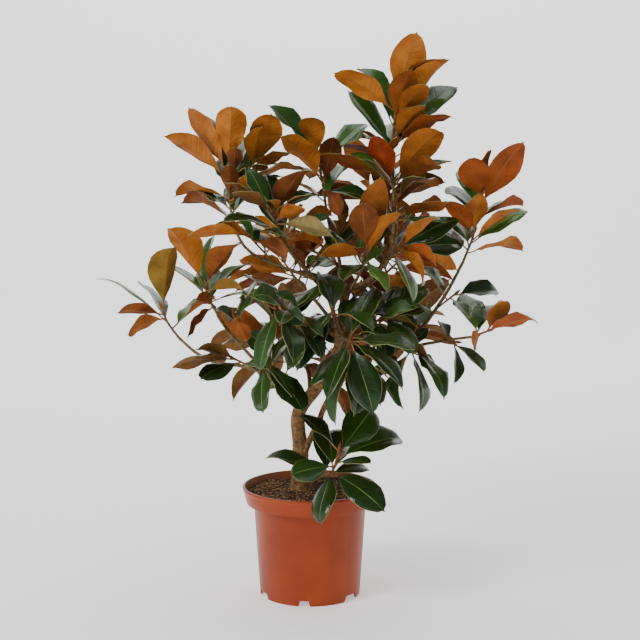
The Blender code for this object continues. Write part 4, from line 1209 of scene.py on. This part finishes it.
@dataclass
class Crown:
    """Every mass of foliage: its stem, twigs and leaves, each kind joined."""

    skeleton: Skeleton
    form: LeafForm = LeafForm()
    blunt_form: LeafForm = LeafForm(slimness=1.0, deeper_fold=1.08, widest=(0.54, 0.61),
                                    tip_power=(0.52, 0.68))
    thin_form: LeafForm = LeafForm(slimness=0.5, deeper_fold=0.3, twist=0.02, wave=0.010, sway=0.02)
    young_form: LeafForm = LeafForm(slimness=0.86, deeper_fold=1.7, twist=0.5, wave=0.075, tip_recurve=0.22)
    stem_cut: TubeCut = TubeCut(10, 0.0035)
    longer: float = 1.03
    match: float = 0.0004
    young_part: float = 0.45
    bud_length: float = 0.016
    bud_radius: float = 0.0024
    lines: dict[str, list[Line]] = field(default_factory=dict)

    def tips(self, node: str) -> KDTree:
        """A search tree of the points of a mass's solid."""
        verts = frame["nodes"][node].data.vertices
        tree = KDTree(len(verts))
        for vert in verts:
            tree.insert(vert.co, vert.index)
        tree.balance()
        return tree

    def grown(self, mass: MassPlan) -> list[tuple[Line, float]]:
        """The line that each fan of a mass stands on, and how far along it, stem first."""
        chance = random.Random(mass.seed)
        knots = [self.skeleton.start_of(mass.parent, mass.start)] + [VIEW.place(*spot) for spot in mass.stem]
        stem = Line(knots, 2)
        found = [(stem, stem.length)]
        for fan in mass.fans[1:]:
            node = VIEW.place(*fan.node)
            spot = stem.nearest(node)
            if (stem.at(spot)[0] - node).length < LeafRule.on_stem:
                found.append((stem, spot))
            else:
                twig = LeafRule.side_twig(stem, node, chance)
                found.append((twig, twig.length))
        return found

    def leaves(self, mass: MassPlan, grown: list[tuple[Line, float]]) -> Iterator[tuple[int, int, Leaf]]:
        """Each leaf that the mass's solid has, with the fan's and the leaf's number."""
        tips = self.tips(mass.name)
        for order, (line, spot) in enumerate(grown):
            for number, draw in enumerate(LeafRule.fan(mass, order, line, spot)):
                for wander in range(LeafRule.tries):
                    leaf = draw(random.Random(LeafRule.seed(mass, order, number, wander)), wander)
                    if tips.find(leaf.at(1.0)[0])[2] < self.match:
                        yield order, number, leaf
                        break

    def tints(self, mass: MassPlan, order: int, number: int, chance: random.Random) -> tuple[Finish, Finish]:
        """The finishes of a leaf's two sides, dealt out by spray, with duller, darker tints as painted shade in the
        lower, inner and rear masses.
        """
        deal = random.Random(mass.seed * 8 + order)
        kinds = [Felt.BRIGHT, Felt.AMBER, Felt.RUST, Felt.AMBER, Felt.DEEP]
        if mass.name in REDDER:
            kinds = [Felt.EMBER, Felt.RUST, Felt.AMBER, Felt.EMBER, Felt.BRIGHT]
        # Painted shade: the lower, inner and rear masses deal from duller, darker undersides and greens.
        if mass.name in PAINTED_SHADE_MASSES:
            kinds = [Felt.UMBER, Felt.OLIVE, Felt.UMBER, Felt.RUST, Felt.DEEP]
        unders = deal.sample(kinds, 3)
        greens = [Gloss.FOREST, Gloss.LEAF, Gloss.SHADE, Gloss.FRESH]
        if mass.name in PAINTED_SHADE_MASSES:
            greens = [Gloss.FOREST, Gloss.SHADE, Gloss.SHADE, Gloss.FOREST]
        uppers = deal.sample(greens, 2)
        upper, under = chance.choice(uppers), chance.choice(unders)
        return upper.value, ODD_LEAVES.get((mass.name, order, number), under).value

    def add_bud(self, shape: bmesh.types.BMesh, line: Line, spot: float) -> None:
        """Add the pointed downy bud that ends a shoot."""
        point, run = line.at(spot)
        bud = Line([point, point + run * self.bud_length], 6)
        before = set(shape.faces)

        def swell(distance: float) -> float:
            """The bud's radius at a distance from its base."""
            part = distance / bud.length
            return 0.0003 + self.bud_radius * math.sin(math.pi * min(part + 0.25, 1.0)) ** 0.8

        add_tube(shape, bud, swell, TubeCut(8, 0.0025, 2), None, 1)
        for face in set(shape.faces) - before:
            face.tag = True

    def add_stem(self, shape: bmesh.types.BMesh, line: Line, girth: tuple[float, float],
                 young_from: float) -> None:
        """Add a stem or twig, its older part in one finish and its younger part in another."""
        fine = line.finer()
        add_tube(shape, fine, lambda distance: taper(line.length, girth, 0.8, distance), self.stem_cut,
                 lambda point, angle, distance: 0.00015 * noise.noise(point * 400), 0)
        for face in shape.faces:
            if face.tag:
                continue
            face.tag = True
            middle = face.calc_center_median()
            face.material_index = int(line.nearest(middle) > line.length * young_from)

    def build(self) -> list[bpy.types.Object]:
        """Make and return one piece of leaves for each mass and one piece of all their twigs."""
        blank = self.form.blank()
        twigs = bmesh.new()
        pieces = []
        for mass in MASSES:
            grown = self.grown(mass)
            parent_tip = self.skeleton.girths[mass.parent][1]
            for order, (line, _) in enumerate(grown):
                if order and line is grown[0][0]:
                    continue
                wide = max(mass.girth, parent_tip if mass.start >= 1.0 else 0.0)
                girth = (wide, LeafRule.twig_radius * 1.5) if not order else (
                    LeafRule.twig_radius * 1.7, LeafRule.twig_radius * 1.4)
                self.add_stem(twigs, line, girth, self.young_part)
            for line, spot in grown:
                self.add_bud(twigs, line, spot)
            self.lines[mass.name] = [line for line, _ in grown]
            spray = Spray(blank)
            for order, number, leaf in self.leaves(mass, grown):
                form = self.blunt_form if mass.name in BLUNTER else self.form
                form = self.thin_form if (mass.name, order, number) in EDGE_ON else form
                form = self.young_form if (mass.name, order, number) in CRUMPLED else form
                chance = random.Random(LeafRule.seed(mass, order, number, 31))
                upper, under = self.tints(mass, order, number, chance)
                leaf = replace(leaf, length=leaf.length * self.longer)
                spray.add(form.bent(blank, leaf, chance), upper, under)
            finishes = [finish.material() for finish in spray.finishes]
            slot = [row["material_slot"] for row in frame["record"]["subparts"] if row["node"] == mass.name][0]
            pieces.append(publish_mesh(f"{mass.name}_leaves", spray.mesh(f"{mass.name}_leaves"), finishes,
                                       slot, (mass.name,), 60.0))
            log.info("%s: %d leaves", mass.name, spray.count)
        pieces.append(publish("twigs", twigs, [BOUGH_BARK.material(), YOUNG_BARK.material()], "bark", (), 80.0))
        return pieces


class Obstacles:
    """What stands in the crown already, as one search tree, and the leaves added since."""

    near = 0.13

    def __init__(self, wood: list[bpy.types.Object], others: list[bpy.types.Object]) -> None:
        """Gather the skins of finished pieces, those of wood first."""
        points: list[Vector] = []
        faces: list[tuple[int, ...]] = []
        self.wood_faces = sum(len(piece.data.polygons) for piece in wood)
        for piece in wood + others:
            base = len(points)
            points += [vert.co.copy() for vert in piece.data.vertices]
            faces += [tuple(base + index for index in face.vertices) for face in piece.data.polygons]
        self.tree = BVHTree.FromPolygons(points, faces)
        self.fresh: list[tuple[Vector, BVHTree]] = []

    def open_share(self, points: list[Vector]) -> float:
        """How much of a leaf's points would cover sky or bare wood in the front view."""
        eye = Vector(VIEW.point)
        covering = 0
        for point in points:
            _, _, index, distance = self.tree.ray_cast(eye, point - eye)
            covering += index is None or (index < self.wood_faces and distance > (point - eye).length)
        return covering / len(points)

    def take(self, points: list[Vector], faces: list[tuple[int, ...]]) -> bool:
        """Add a leaf unless it touches something.

        Args:
            points: Its points.
            faces: Its faces.

        Returns:
            Whether it was added.
        """
        shape = BVHTree.FromPolygons(points, faces)
        middle = sum(points, Vector()) / len(points)
        if shape.overlap(self.tree):
            return False
        if any((middle - other).length < self.near and shape.overlap(tree) for other, tree in self.fresh):
            return False
        self.fresh.append((middle, shape))
        return True


@dataclass
class InnerGrowth:
    """Short spurs of smaller leaves, dark in tint as painted shade, that fill the crown's inside and keep the view's
    gaps of sky.
    """

    skeleton: Skeleton
    lines: dict[str, list[Line]]
    obstacles: Obstacles
    form: LeafForm = LeafForm(columns=(-1.0, -0.035, 0.035, 1.0), rib_half=0.035, upper_share=0.985,
                              rows=(0.0, 0.13, 0.24, 0.42, 0.62, 0.80, 0.92, 0.955, 1.0))
    spur_cut: TubeCut = TubeCut(6, 0.006, 1)
    spacing: float = 0.0068
    upright_above: float = 0.54
    bare_parts: tuple[tuple[str, float], ...] = (("trunk", 0.50), ("stem_second", 0.40),
                                                 ("shoot_basal", 1.0))
    bare_part: float = 0.18
    bare_masses: tuple[str, ...] = ("foliage_basal",)
    spur_length: tuple[float, float] = (0.008, 0.040)
    spur_radius: float = 0.0013
    leaf_length: tuple[float, float] = (0.048, 0.105)
    leaf_count: tuple[int, int] = (3, 6)
    fewest: int = 2
    sky_share: float = 0.16
    seed: int = 7

    def carriers(self) -> dict[str, list[tuple[Line, float]]]:
        """The lines that spurs grow on and their bare parts, by the limb that they belong to."""
        bare = dict(self.bare_parts)
        found = {name: [(line, bare.get(name, self.bare_part))] for name, line in self.skeleton.lines.items()}
        for mass in MASSES:
            if mass.name not in self.bare_masses:
                found[mass.parent] += [(line, 0.1) for line in dict.fromkeys(self.lines[mass.name])]
        return found

    def fits(self, points: list[Vector], faces: list[tuple[int, ...]]) -> bool:
        """Whether a leaf stays in the space, leaves the view's sky open and touches nothing."""
        low, high = CAD_BOX
        if any(not low[axis] < point[axis] < high[axis] for point in points for axis in range(3)):
            return False
        if self.obstacles.open_share(points[::3]) > self.sky_share:
            return False
        return self.obstacles.take(points, faces)

    def spur(self, line: Line, spot: float, chance: random.Random) -> Line:
        """The line of a spur that leaves a limb sideways, and stands upright high in the crown."""
        point, run = line.at(spot)
        first = run.orthogonal().normalized()
        turn = chance.uniform(0, math.tau)
        outward = first * math.cos(turn) + run.cross(first) * math.sin(turn)
        direction = (outward + run * 0.4 + UP * (1.2 if point.z > self.upright_above else 0.2)).normalized()
        end = point + direction * (0.004 + chance.uniform(*self.spur_length))
        return Line([point, point.lerp(end, 0.5) - UP * 0.002, end], 3)

    def leaf(self, spur: Line, number: int, chance: random.Random) -> Leaf:
        """One of the leaves round a spur's end."""
        end, run = spur.at(spur.length - 0.003 * number)
        first = run.orthogonal().normalized()
        turn = number * LeafRule.golden_angle + chance.uniform(-0.5, 0.5)
        outward = first * math.cos(turn) + run.cross(first) * math.sin(turn)
        high = end.z > self.upright_above
        spread = math.radians(chance.uniform(18, 55) if high else chance.uniform(30, 80))
        along = (run * math.cos(spread) + outward * math.sin(spread)).normalized()
        face = run * 0.6 + UP * 0.6 + outward * chance.uniform(-0.2, 0.2)
        return LeafRule.make(chance, end, along, face, chance.uniform(*self.leaf_length), 0.1 if high else 0.25)

    def grow(self, carriers: list[tuple[Line, float]], spray: Spray, twigs: bmesh.types.BMesh,
             chance: random.Random) -> None:
        """Grow the spurs of one limb and its stems.

        Args:
            carriers: The lines that the spurs grow on, with their bare parts.
            spray: Takes the leaves.
            twigs: Takes the spurs.
            chance: The seeded source of every spur.
        """
        for line, bare in carriers:
            for _ in range(round(line.length * (1 - bare) / self.spacing)):
                spur = self.spur(line, line.length * chance.uniform(bare, 0.98), chance)
                # Painted shade: the inner leaves take dark greens and deep, dull undersides.
                uppers = chance.choice(((Gloss.SHADE, Gloss.FOREST), (Gloss.FOREST, Gloss.LEAF)))
                low_painted_shade_kinds = ((Felt.OLIVE, Felt.UMBER), (Felt.UMBER, Felt.DEEP))
                high_painted_shade_kinds = ((Felt.DEEP, Felt.UMBER), (Felt.RUST, Felt.DEEP))
                high = line.at(0.0)[0].z > self.upright_above
                unders = chance.choice(high_painted_shade_kinds if high else low_painted_shade_kinds)
                held = []
                for number in range(chance.randint(*self.leaf_count)):
                    leaf = self.leaf(spur, number, chance)
                    points = self.form.bent(spray.blank, leaf, chance)
                    if self.fits(points, spray.blank.faces):
                        held.append((points, chance.choice(uppers).value, chance.choice(unders).value))
                if len(held) >= self.fewest:
                    for points, upper, under in held:
                        spray.add(points, upper, under)
                    add_tube(twigs, spur, lambda distance: self.spur_radius, self.spur_cut, None, 0)

    def build(self) -> None:
        """Make one piece of inner leaves for each limb and one piece of all spurs."""
        blank = self.form.blank()
        twigs = bmesh.new()
        chance = random.Random(self.seed)
        total = 0
        for name, carriers in self.carriers().items():
            spray = Spray(blank)
            self.grow(carriers, spray, twigs, chance)
            total += spray.count
            if spray.count:
                finishes = [finish.material() for finish in spray.finishes]
                publish_mesh(f"inner_leaves_{name}", spray.mesh(f"inner_leaves_{name}"), finishes,
                             "foliage_green", (), 60.0)
        publish("spurs", twigs, [YOUNG_BARK.material()], "bark", (), 80.0)
        log.info("inner leaves: %d", total)


@dataclass
class NurseryPot:
    """The round nursery pot with its band, notched foot, boss and drain holes."""

    rim_radius: float = 0.120
    height: float = 0.195
    band_height: float = 0.029
    band_foot_radius: float = 0.1135
    body_top_radius: float = 0.1000
    foot_radius: float = 0.0895
    wall: float = 0.0026
    lip_width: float = 0.0045
    step_drop: float = 0.004
    floor_rise: float = 0.0105
    boss_radius: float = 0.046
    notch_height: float = 0.0102
    notch_angles: tuple[float, ...] = (-6.0, 54.0, 114.0, 174.0, 234.0, 294.0)
    notch_widths: tuple[float, float] = (0.021, 0.036)
    drain_radius: float = 0.005
    drain_ring: float = 0.064
    steps: int = 144
    fillet: float = 0.0007

    def inside(self) -> list[tuple[float, float]]:
        """The inner profile from the middle of the floor to the top of the lip."""
        floor_top = self.floor_rise + self.wall
        step = self.height - self.band_height
        return [(0.0, self.wall), (self.boss_radius - 0.002, self.wall), (self.boss_radius + 0.007, floor_top),
                (self.foot_radius - self.wall - 0.002, floor_top),
                (self.foot_radius - self.wall + 0.0005, floor_top + 0.004),
                (self.body_top_radius - self.wall, step - self.step_drop),
                (self.body_top_radius - self.wall + 0.001, step + self.wall),
                (self.band_foot_radius - self.wall, step + self.wall + 0.001),
                (self.rim_radius - self.lip_width, self.height)]

    def outside(self) -> list[tuple[float, float]]:
        """The outer profile from the lip down to the middle of the underside."""
        step = self.height - self.band_height
        return [(self.rim_radius - 0.0008, self.height), (self.rim_radius, self.height - 0.001),
                (self.rim_radius, self.height - 0.0045), (self.rim_radius - 0.0012, self.height - 0.0060),
                (self.band_foot_radius, step), (self.body_top_radius + 0.001, step),
                (self.body_top_radius, step - 0.002), (self.foot_radius, 0.0),
                (self.foot_radius - self.wall, 0.0), (self.foot_radius - self.wall, self.floor_rise),
                (self.boss_radius + 0.009, self.floor_rise), (self.boss_radius, 0.0), (0.0, 0.0)]

    def cutters(self) -> bpy.types.Collection:
        """The notches' wedges and the drain holes' pins, in a collection of their own."""
        group = bpy.data.collections.new("pot_cutters")
        bpy.context.scene.collection.children.link(group)
        for count, angle in enumerate(self.notch_angles):
            width = self.notch_widths[count % 3 != 0]
            wedge = bmesh.new()
            bmesh.ops.create_cube(wedge, size=1.0)
            for vert in wedge.verts:
                top = vert.co.z > 0
                half = width * (0.36 if top else 0.52)
                vert.co.x = half if vert.co.x > 0 else -half
                near = self.foot_radius - self.wall - 0.006
                vert.co.y = -(self.foot_radius + 0.01) if vert.co.y < 0 else -near
                vert.co.z = self.notch_height if top else -0.004
            add_cutter(group, wedge, Vector(), math.radians(angle))
            pin = bmesh.new()
            bmesh.ops.create_cone(pin, cap_ends=True, segments=24, radius1=self.drain_radius,
                                  radius2=self.drain_radius, depth=self.wall * 4)
            turn = math.radians(angle + 30)
            spot = Vector((self.drain_ring * math.sin(turn), -self.drain_ring * math.cos(turn),
                           self.floor_rise + self.wall / 2))
            add_cutter(group, pin, spot, 0.0)
        return group

    def build(self) -> None:
        """Spin the profile, soften its corners, and cut the notches and drains."""
        shape = bmesh.new()
        lathe(shape, self.inside() + self.outside(), self.steps)
        corners = [edge for edge in shape.edges
                   if len(edge.link_faces) == 2 and edge.calc_face_angle() > math.radians(24)
                   and abs(edge.verts[0].co.z - edge.verts[1].co.z) < 0.00001]
        bmesh.ops.bevel(shape, geom=corners, offset=self.fillet, segments=3, profile=0.5, affect="EDGES",
                        clamp_overlap=True, material=-1)
        bmesh.ops.recalc_face_normals(shape, faces=shape.faces)
        group = self.cutters()
        mesh = cut_by(shape, group)
        # Faces of the inner wall above the floor take a browner, duller plastic than the outside.
        for face in mesh.polygons:
            inward = face.normal.x * face.center.x + face.normal.y * face.center.y < 0
            face.material_index = int(inward and face.center.z > self.floor_rise + self.wall)
        inside = PotPlastic("pot_plastic_inside", "8C5434", "764529", "8E6E4A")
        publish_mesh("nursery_pot", mesh, [PotPlastic().material(), inside.material()], "pot_plastic",
                     ("pot",), 30.0)


def lathe(shape: bmesh.types.BMesh, profile: list[tuple[float, float]], steps: int) -> None:
    """Spin a profile of radius and height round the Z axis into a closed skin."""
    verts = [shape.verts.new((radius, 0.0, height)) for radius, height in profile]
    edges = [shape.edges.new(pair) for pair in zip(verts, verts[1:])]
    bmesh.ops.spin(shape, geom=verts + edges, cent=(0, 0, 0), axis=(0, 0, 1), angle=math.tau,
                   steps=steps, use_merge=True)
    bmesh.ops.remove_doubles(shape, verts=shape.verts, dist=0.000002)


def add_cutter(group: bpy.types.Collection, shape: bmesh.types.BMesh, spot: Vector, turn: float) -> None:
    """Put one cutter in a collection, turned about the Z axis and then moved."""
    mesh = bpy.data.meshes.new("cutter")
    bmesh.ops.recalc_face_normals(shape, faces=shape.faces)
    shape.to_mesh(mesh)
    shape.free()
    item = bpy.data.objects.new("cutter", mesh)
    item.location = spot
    item.rotation_euler.z = turn
    group.objects.link(item)


def weld(shape: bmesh.types.BMesh) -> None:
    """Merge points that coincide, and remove the slivers and doubled faces among them."""
    bmesh.ops.remove_doubles(shape, verts=shape.verts, dist=0.00001)
    bmesh.ops.dissolve_degenerate(shape, edges=shape.edges, dist=0.00001)
    seen: set[frozenset[bmesh.types.BMVert]] = set()
    doubled = []
    for face in shape.faces:
        corners = frozenset(face.verts)
        if corners in seen:
            doubled.append(face)
        seen.add(corners)
    bmesh.ops.delete(shape, geom=doubled, context="FACES")


def cut_by(shape: bmesh.types.BMesh, group: bpy.types.Collection) -> bpy.types.Mesh:
    """Cut a mesh by a collection, remove the collection and return what is left."""
    weld(shape)
    mesh = bpy.data.meshes.new("cut")
    shape.to_mesh(mesh)
    shape.free()
    holder = bpy.data.objects.new("holder", mesh)
    bpy.context.scene.collection.objects.link(holder)
    joint = holder.modifiers.new("cut", "BOOLEAN")
    joint.operation = "DIFFERENCE"
    joint.operand_type = "COLLECTION"
    joint.collection = group
    joint.solver = "EXACT"
    bpy.context.view_layer.update()
    graph = bpy.context.evaluated_depsgraph_get()
    made = bpy.data.meshes.new_from_object(holder.evaluated_get(graph))
    bpy.data.objects.remove(holder)
    for item in list(group.objects):
        bpy.data.objects.remove(item)
    bpy.data.collections.remove(group)
    rest = bmesh.new()
    rest.from_mesh(made)
    weld(rest)
    rest.to_mesh(made)
    rest.free()
    return made


@dataclass(frozen=True)
class PotPlastic:
    """The terracotta-coloured moulded plastic, mottled, with specks of dust and patchy roughness."""

    name: str = "pot_plastic_satin"
    colour: str = "963F1D"
    shade: str = "853419"
    dust: str = "9C5731"

    def material(self) -> bpy.types.Material:
        """The plastic as a node material."""
        made = bpy.data.materials.new(self.name)
        made.use_nodes = True
        tree = made.node_tree
        shader = tree.nodes["Principled BSDF"]
        shader.inputs["Specular IOR Level"].default_value = 0.16
        cloud = noise_node(tree, 9.0, 3.0)
        ramp = tree.nodes.new("ShaderNodeValToRGB")
        ramp.color_ramp.elements[0].position = 0.35
        ramp.color_ramp.elements[0].color = (*srgb(self.shade), 1.0)
        ramp.color_ramp.elements[1].position = 0.62
        ramp.color_ramp.elements[1].color = (*srgb(self.colour), 1.0)
        tree.links.new(cloud.outputs["Fac"], ramp.inputs["Fac"])
        specks = noise_node(tree, 420.0, 5.0)
        dusty = tree.nodes.new("ShaderNodeMapRange")
        dusty.inputs["From Min"].default_value = 0.62
        dusty.inputs["From Max"].default_value = 0.78
        dusty.inputs["To Max"].default_value = 0.35
        tree.links.new(specks.outputs["Fac"], dusty.inputs["Value"])
        mix = tree.nodes.new("ShaderNodeMix")
        mix.data_type = "RGBA"
        mix.inputs["B"].default_value = (*srgb(self.dust), 1.0)
        tree.links.new(dusty.outputs["Result"], mix.inputs["Factor"])
        tree.links.new(ramp.outputs["Color"], mix.inputs["A"])
        tree.links.new(mix.outputs["Result"], shader.inputs["Base Color"])
        wear = tree.nodes.new("ShaderNodeMapRange")
        wear.inputs["To Min"].default_value = 0.28
        wear.inputs["To Max"].default_value = 0.42
        tree.links.new(noise_node(tree, 70.0, 4.0).outputs["Fac"], wear.inputs["Value"])
        tree.links.new(wear.outputs["Result"], shader.inputs["Roughness"])
        orange_peel = bump_node(tree, noise_node(tree, 700.0, 2.0).outputs["Fac"], 0.00008)
        tree.links.new(orange_peel.outputs["Normal"], shader.inputs["Normal"])
        return made


class Crumb(Enum):
    """The kinds of crumb that lie on the potting mix."""

    PEAT = Finish("crumb_peat", "302012", "20140A", 0.95, 200.0)
    BARK = Finish("crumb_bark", "7B4F29", "5A3818", 0.85, 200.0)
    STRAW = Finish("crumb_straw", "AE8348", "8C6532", 0.85, 200.0)
    PINK = Finish("crumb_pink", "B07A68", "945C4C", 0.85, 200.0)


@dataclass
class PottingMix:
    """The root ball: a closed body whose top is a rough bed of mix with loose crumbs on it."""

    pot: NurseryPot
    top: float = 0.186
    edge_drop: float = 0.003
    fit: float = 0.0005
    steps: int = 160
    rings: int = 44
    lump: float = 0.0026
    grain: float = 0.0016
    crumbs: int = 6000
    crumb_size: tuple[float, float] = (0.0006, 0.0026)
    block_kinds: int = 8
    litter: tuple[tuple[tuple[float, float], tuple[float, float], float], ...] = (
        ((-0.076, -0.005), (-0.050, 0.036), 0.0015), ((0.034, -0.062), (0.052, -0.051), 0.0011),
        ((-0.052, 0.072), (-0.044, 0.080), 0.0014))

    def wall_radius(self, height: float) -> float:
        """The radius of the pot's inside in its band at a height."""
        foot, lip = self.pot.inside()[-2], self.pot.inside()[-1]
        return foot[0] + (lip[0] - foot[0]) * (height - foot[1]) / (lip[1] - foot[1]) - self.fit

    def level(self, spot: Vector) -> float:
        """The height of the bed at a place."""
        flat = Vector((spot.x, spot.y, 0.0))
        out = flat.length / self.wall_radius(self.top)
        height = self.top - self.edge_drop * out ** 3
        height += self.lump * noise.noise(flat * 55) + self.grain * noise.noise(flat * 260)
        height += self.grain * 0.6 * (0.35 - noise.voronoi(flat * 210)[0][0])
        return min(height, self.top + 0.0028)

    def build(self) -> None:
        """Make the bed and the crumbs."""
        shape = bmesh.new()
        edge = self.wall_radius(self.top - self.edge_drop)
        profile = [(edge * ring / self.rings, self.top) for ring in range(self.rings + 1)]
        inside = self.pot.inside()[:-1]
        profile += [(max(radius - self.fit * 1.5, 0.0), level + self.fit) for radius, level in reversed(inside)]
        lathe(shape, profile, self.steps)
        for vert in shape.verts:
            if abs(vert.co.z - self.top) < 0.00001:
                vert.co.z = self.level(vert.co)
        publish("potting_mix", shape, [Crumb.PEAT.value.material()], "potting_soil", ("root_ball",), 60.0)
        self.build_crumbs(edge)
        self.build_litter()

    def blocks(self) -> list[tuple[list[Vector], list[tuple[int, ...]]]]:
        """A few rough little blocks of unit size, as points and faces."""
        found = []
        for number in range(self.block_kinds):
            chance = random.Random(number)
            shape = bmesh.new()
            bmesh.ops.create_icosphere(shape, subdivisions=1, radius=1.0)
            for vert in shape.verts:
                vert.co *= chance.uniform(0.7, 1.15)
            shape.verts.index_update()
            found.append(([vert.co.copy() for vert in shape.verts],
                          [tuple(vert.index for vert in face.verts) for face in shape.faces]))
            shape.free()
        return found

    def build_crumbs(self, edge: float) -> None:
        """Strew the crumbs, each a rough little block of its own size, turn and kind."""
        chance = random.Random(41)
        kinds = [Crumb.PEAT, Crumb.BARK, Crumb.STRAW, Crumb.PINK]
        blocks = self.blocks()
        points: list[Vector] = []
        faces: list[tuple[int, ...]] = []
        slots: list[int] = []
        for _ in range(self.crumbs):
            radius = (edge - 0.003) * math.sqrt(chance.random())
            turn = chance.uniform(0, math.tau)
            spot = Vector((radius * math.cos(turn), radius * math.sin(turn), 0.0))
            size = self.crumb_size[0] + (self.crumb_size[1] - self.crumb_size[0]) * chance.random() ** 2
            spot.z = self.level(spot) + size * 0.15
            scale = Vector((size * 1.25, size * chance.uniform(0.35, 1.0), size * chance.uniform(0.2, 0.6)))
            spin = Matrix.Rotation(chance.uniform(0, math.tau), 3, "Z")
            corners, skin = chance.choice(blocks)
            base = len(points)
            points += [spot + spin @ (corner * scale) for corner in corners]
            faces += [tuple(base + index for index in face) for face in skin]
            # Straw crumbs grow commoner towards the left (-X) and rarer towards the right.
            golden = 0.28 - 0.20 * spot.x / edge
            slots += chance.choices(range(4), (0.42, 0.36, golden, 0.02)) * len(skin)
        mesh = bpy.data.meshes.new("potting_mix_crumbs")
        mesh.from_pydata(points, [], faces)
        mesh.polygons.foreach_set("material_index", slots)
        mesh.update()
        publish_mesh("potting_mix_crumbs", mesh, [kind.value.material() for kind in kinds], "potting_soil",
                     (), 30.0)

    def build_litter(self) -> None:
        """Lay a dry stick and two short stubs on the mix."""
        shape = bmesh.new()
        for start, end, radius in self.litter:
            knots = [Vector((*start, 0.0)), Vector((*start, 0.0)).lerp(Vector((*end, 0.0)), 0.5),
                     Vector((*end, 0.0))]
            for knot in knots:
                knot.z = self.level(knot) + radius * 1.2
            knots[1] += Vector((0.002, -0.001, 0.0006))
            add_tube(shape, Line(knots, 5), partial(taper, 0.05, (radius * 2.2, radius * 1.5), 1.0),
                     TubeCut(8, 0.003, 2), lambda point, angle, distance: 0.0002 * noise.noise(point * 500))
        publish("litter", shape, [OLD_BARK.material()], "bark", (), 80.0)


@dataclass
class Studio:
    """The pale floor, the soft lights and the camera at the photograph's angle."""

    half_side: float = 16.0
    bend_from: float = 2.6
    bend_radius: float = 1.6
    wall_top: float = 5.0
    colour: tuple[float, float, float] = (0.92, 0.92, 0.92)
    glow: float = 0.50
    world_strength: float = 0.18

    def build(self) -> None:
        """Set up the stage."""
        self.add_sweep()
        self.add_world()
        self.add_light("key", (-1.9, -1.7, 2.1), 1.0, 69.0)
        self.add_light("fill", (2.2, -2.0, 1.2), 1.6, 2.0)
        self.add_light("top", (0.3, 0.4, 2.9), 1.6, 22.0)
        self.add_light("backdrop_left", (-1.4, 1.9, 3.0), 1.2, 45.0, (-0.9, 4.2, 0.9))
        self.add_light("backdrop_right", (1.4, 1.9, 3.0), 1.2, 45.0, (0.9, 4.2, 0.9))
        self.add_camera()

    def add_sweep(self) -> None:
        """The floor that bends up into a backdrop, with far walls, which isn't part of the plant."""
        turns = [math.pi / 2 * step / 16 for step in range(17)]
        profile = [(-self.half_side, self.wall_top), (-self.half_side, 0.0)]
        profile += [(self.bend_from + self.bend_radius * math.sin(turn),
                     self.bend_radius * (1 - math.cos(turn))) for turn in turns]
        profile.append((self.bend_from + self.bend_radius, self.wall_top))
        shape = bmesh.new()
        verts = [shape.verts.new((-self.half_side, y, z)) for y, z in profile]
        edges = [shape.edges.new(pair) for pair in zip(verts, verts[1:])]
        made = bmesh.ops.extrude_edge_only(shape, edges=edges)["geom"]
        moved = {item for item in made if isinstance(item, bmesh.types.BMVert)}
        far = [next(edge.other_vert(vert) for edge in vert.link_edges if edge.other_vert(vert) in moved)
               for vert in verts]
        bmesh.ops.translate(shape, vec=(self.half_side * 2, 0.0, 0.0), verts=far)
        for rim in (verts, far):
            shape.faces.new(rim)
        bmesh.ops.recalc_face_normals(shape, faces=shape.faces)
        if max(shape.faces, key=lambda face: face.calc_area()).normal.z < 0:
            bmesh.ops.reverse_faces(shape, faces=shape.faces)
        mesh = bpy.data.meshes.new("floor")
        shape.to_mesh(mesh)
        shape.free()
        mesh.shade_smooth()
        mesh.set_sharp_from_angle(angle=math.radians(60))
        floor = bpy.data.objects.new("floor", mesh)
        bpy.context.scene.collection.objects.link(floor)
        paint = bpy.data.materials.new("floor_paint")
        paint.use_nodes = True
        shader = paint.node_tree.nodes["Principled BSDF"]
        shader.inputs["Base Color"].default_value = (*self.colour, 1.0)
        shader.inputs["Roughness"].default_value = 0.9
        shader.inputs["Emission Color"].default_value = (1.0, 1.0, 1.0, 1.0)
        shader.inputs["Emission Strength"].default_value = self.glow
        mesh.materials.append(paint)

    def add_world(self) -> None:
        """An even white surround."""
        world = bpy.data.worlds.new("studio")
        world.use_nodes = True
        light = world.node_tree.nodes["Background"]
        light.inputs["Color"].default_value = (1.0, 1.0, 1.0, 1.0)
        light.inputs["Strength"].default_value = self.world_strength
        bpy.context.scene.world = world

    def add_light(self, name: str, spot: tuple[float, float, float], side: float, power: float,
                  target: tuple[float, float, float] = (0.0, 0.0, 0.55)) -> None:
        """A soft square light of a power in watts that looks at the crown or another target."""
        lamp = bpy.data.lights.new(name, "AREA")
        lamp.size = side
        lamp.energy = power
        item = bpy.data.objects.new(name, lamp)
        item.location = spot
        aim = Vector(target) - Vector(spot)
        item.rotation_euler = aim.to_track_quat("-Z", "Y").to_euler()
        bpy.context.scene.collection.objects.link(item)

    def add_camera(self) -> None:
        """The camera of the front view."""
        lens = bpy.data.cameras.new("camera")
        lens.lens = VIEW.lens
        lens.sensor_width = VIEW.sensor
        camera = bpy.data.objects.new("camera", lens)
        camera.location = VIEW.point
        camera.rotation_euler = (math.pi / 2 - VIEW.pitch, 0.0, 0.0)
        bpy.context.scene.collection.objects.link(camera)
        bpy.context.scene.camera = camera


def main() -> None:
    """Build the plant, its pot and the studio in order."""
    Studio().build()
    pot = NurseryPot()
    pot.build()
    PottingMix(pot).build()
    skeleton = Skeleton()
    limbs = Woodwork(skeleton).build()
    crown = Crown(skeleton)
    obstacles = Obstacles(limbs, crown.build())
    InnerGrowth(skeleton, crown.lines, obstacles).build()


if __name__ == "__main__":
    main()
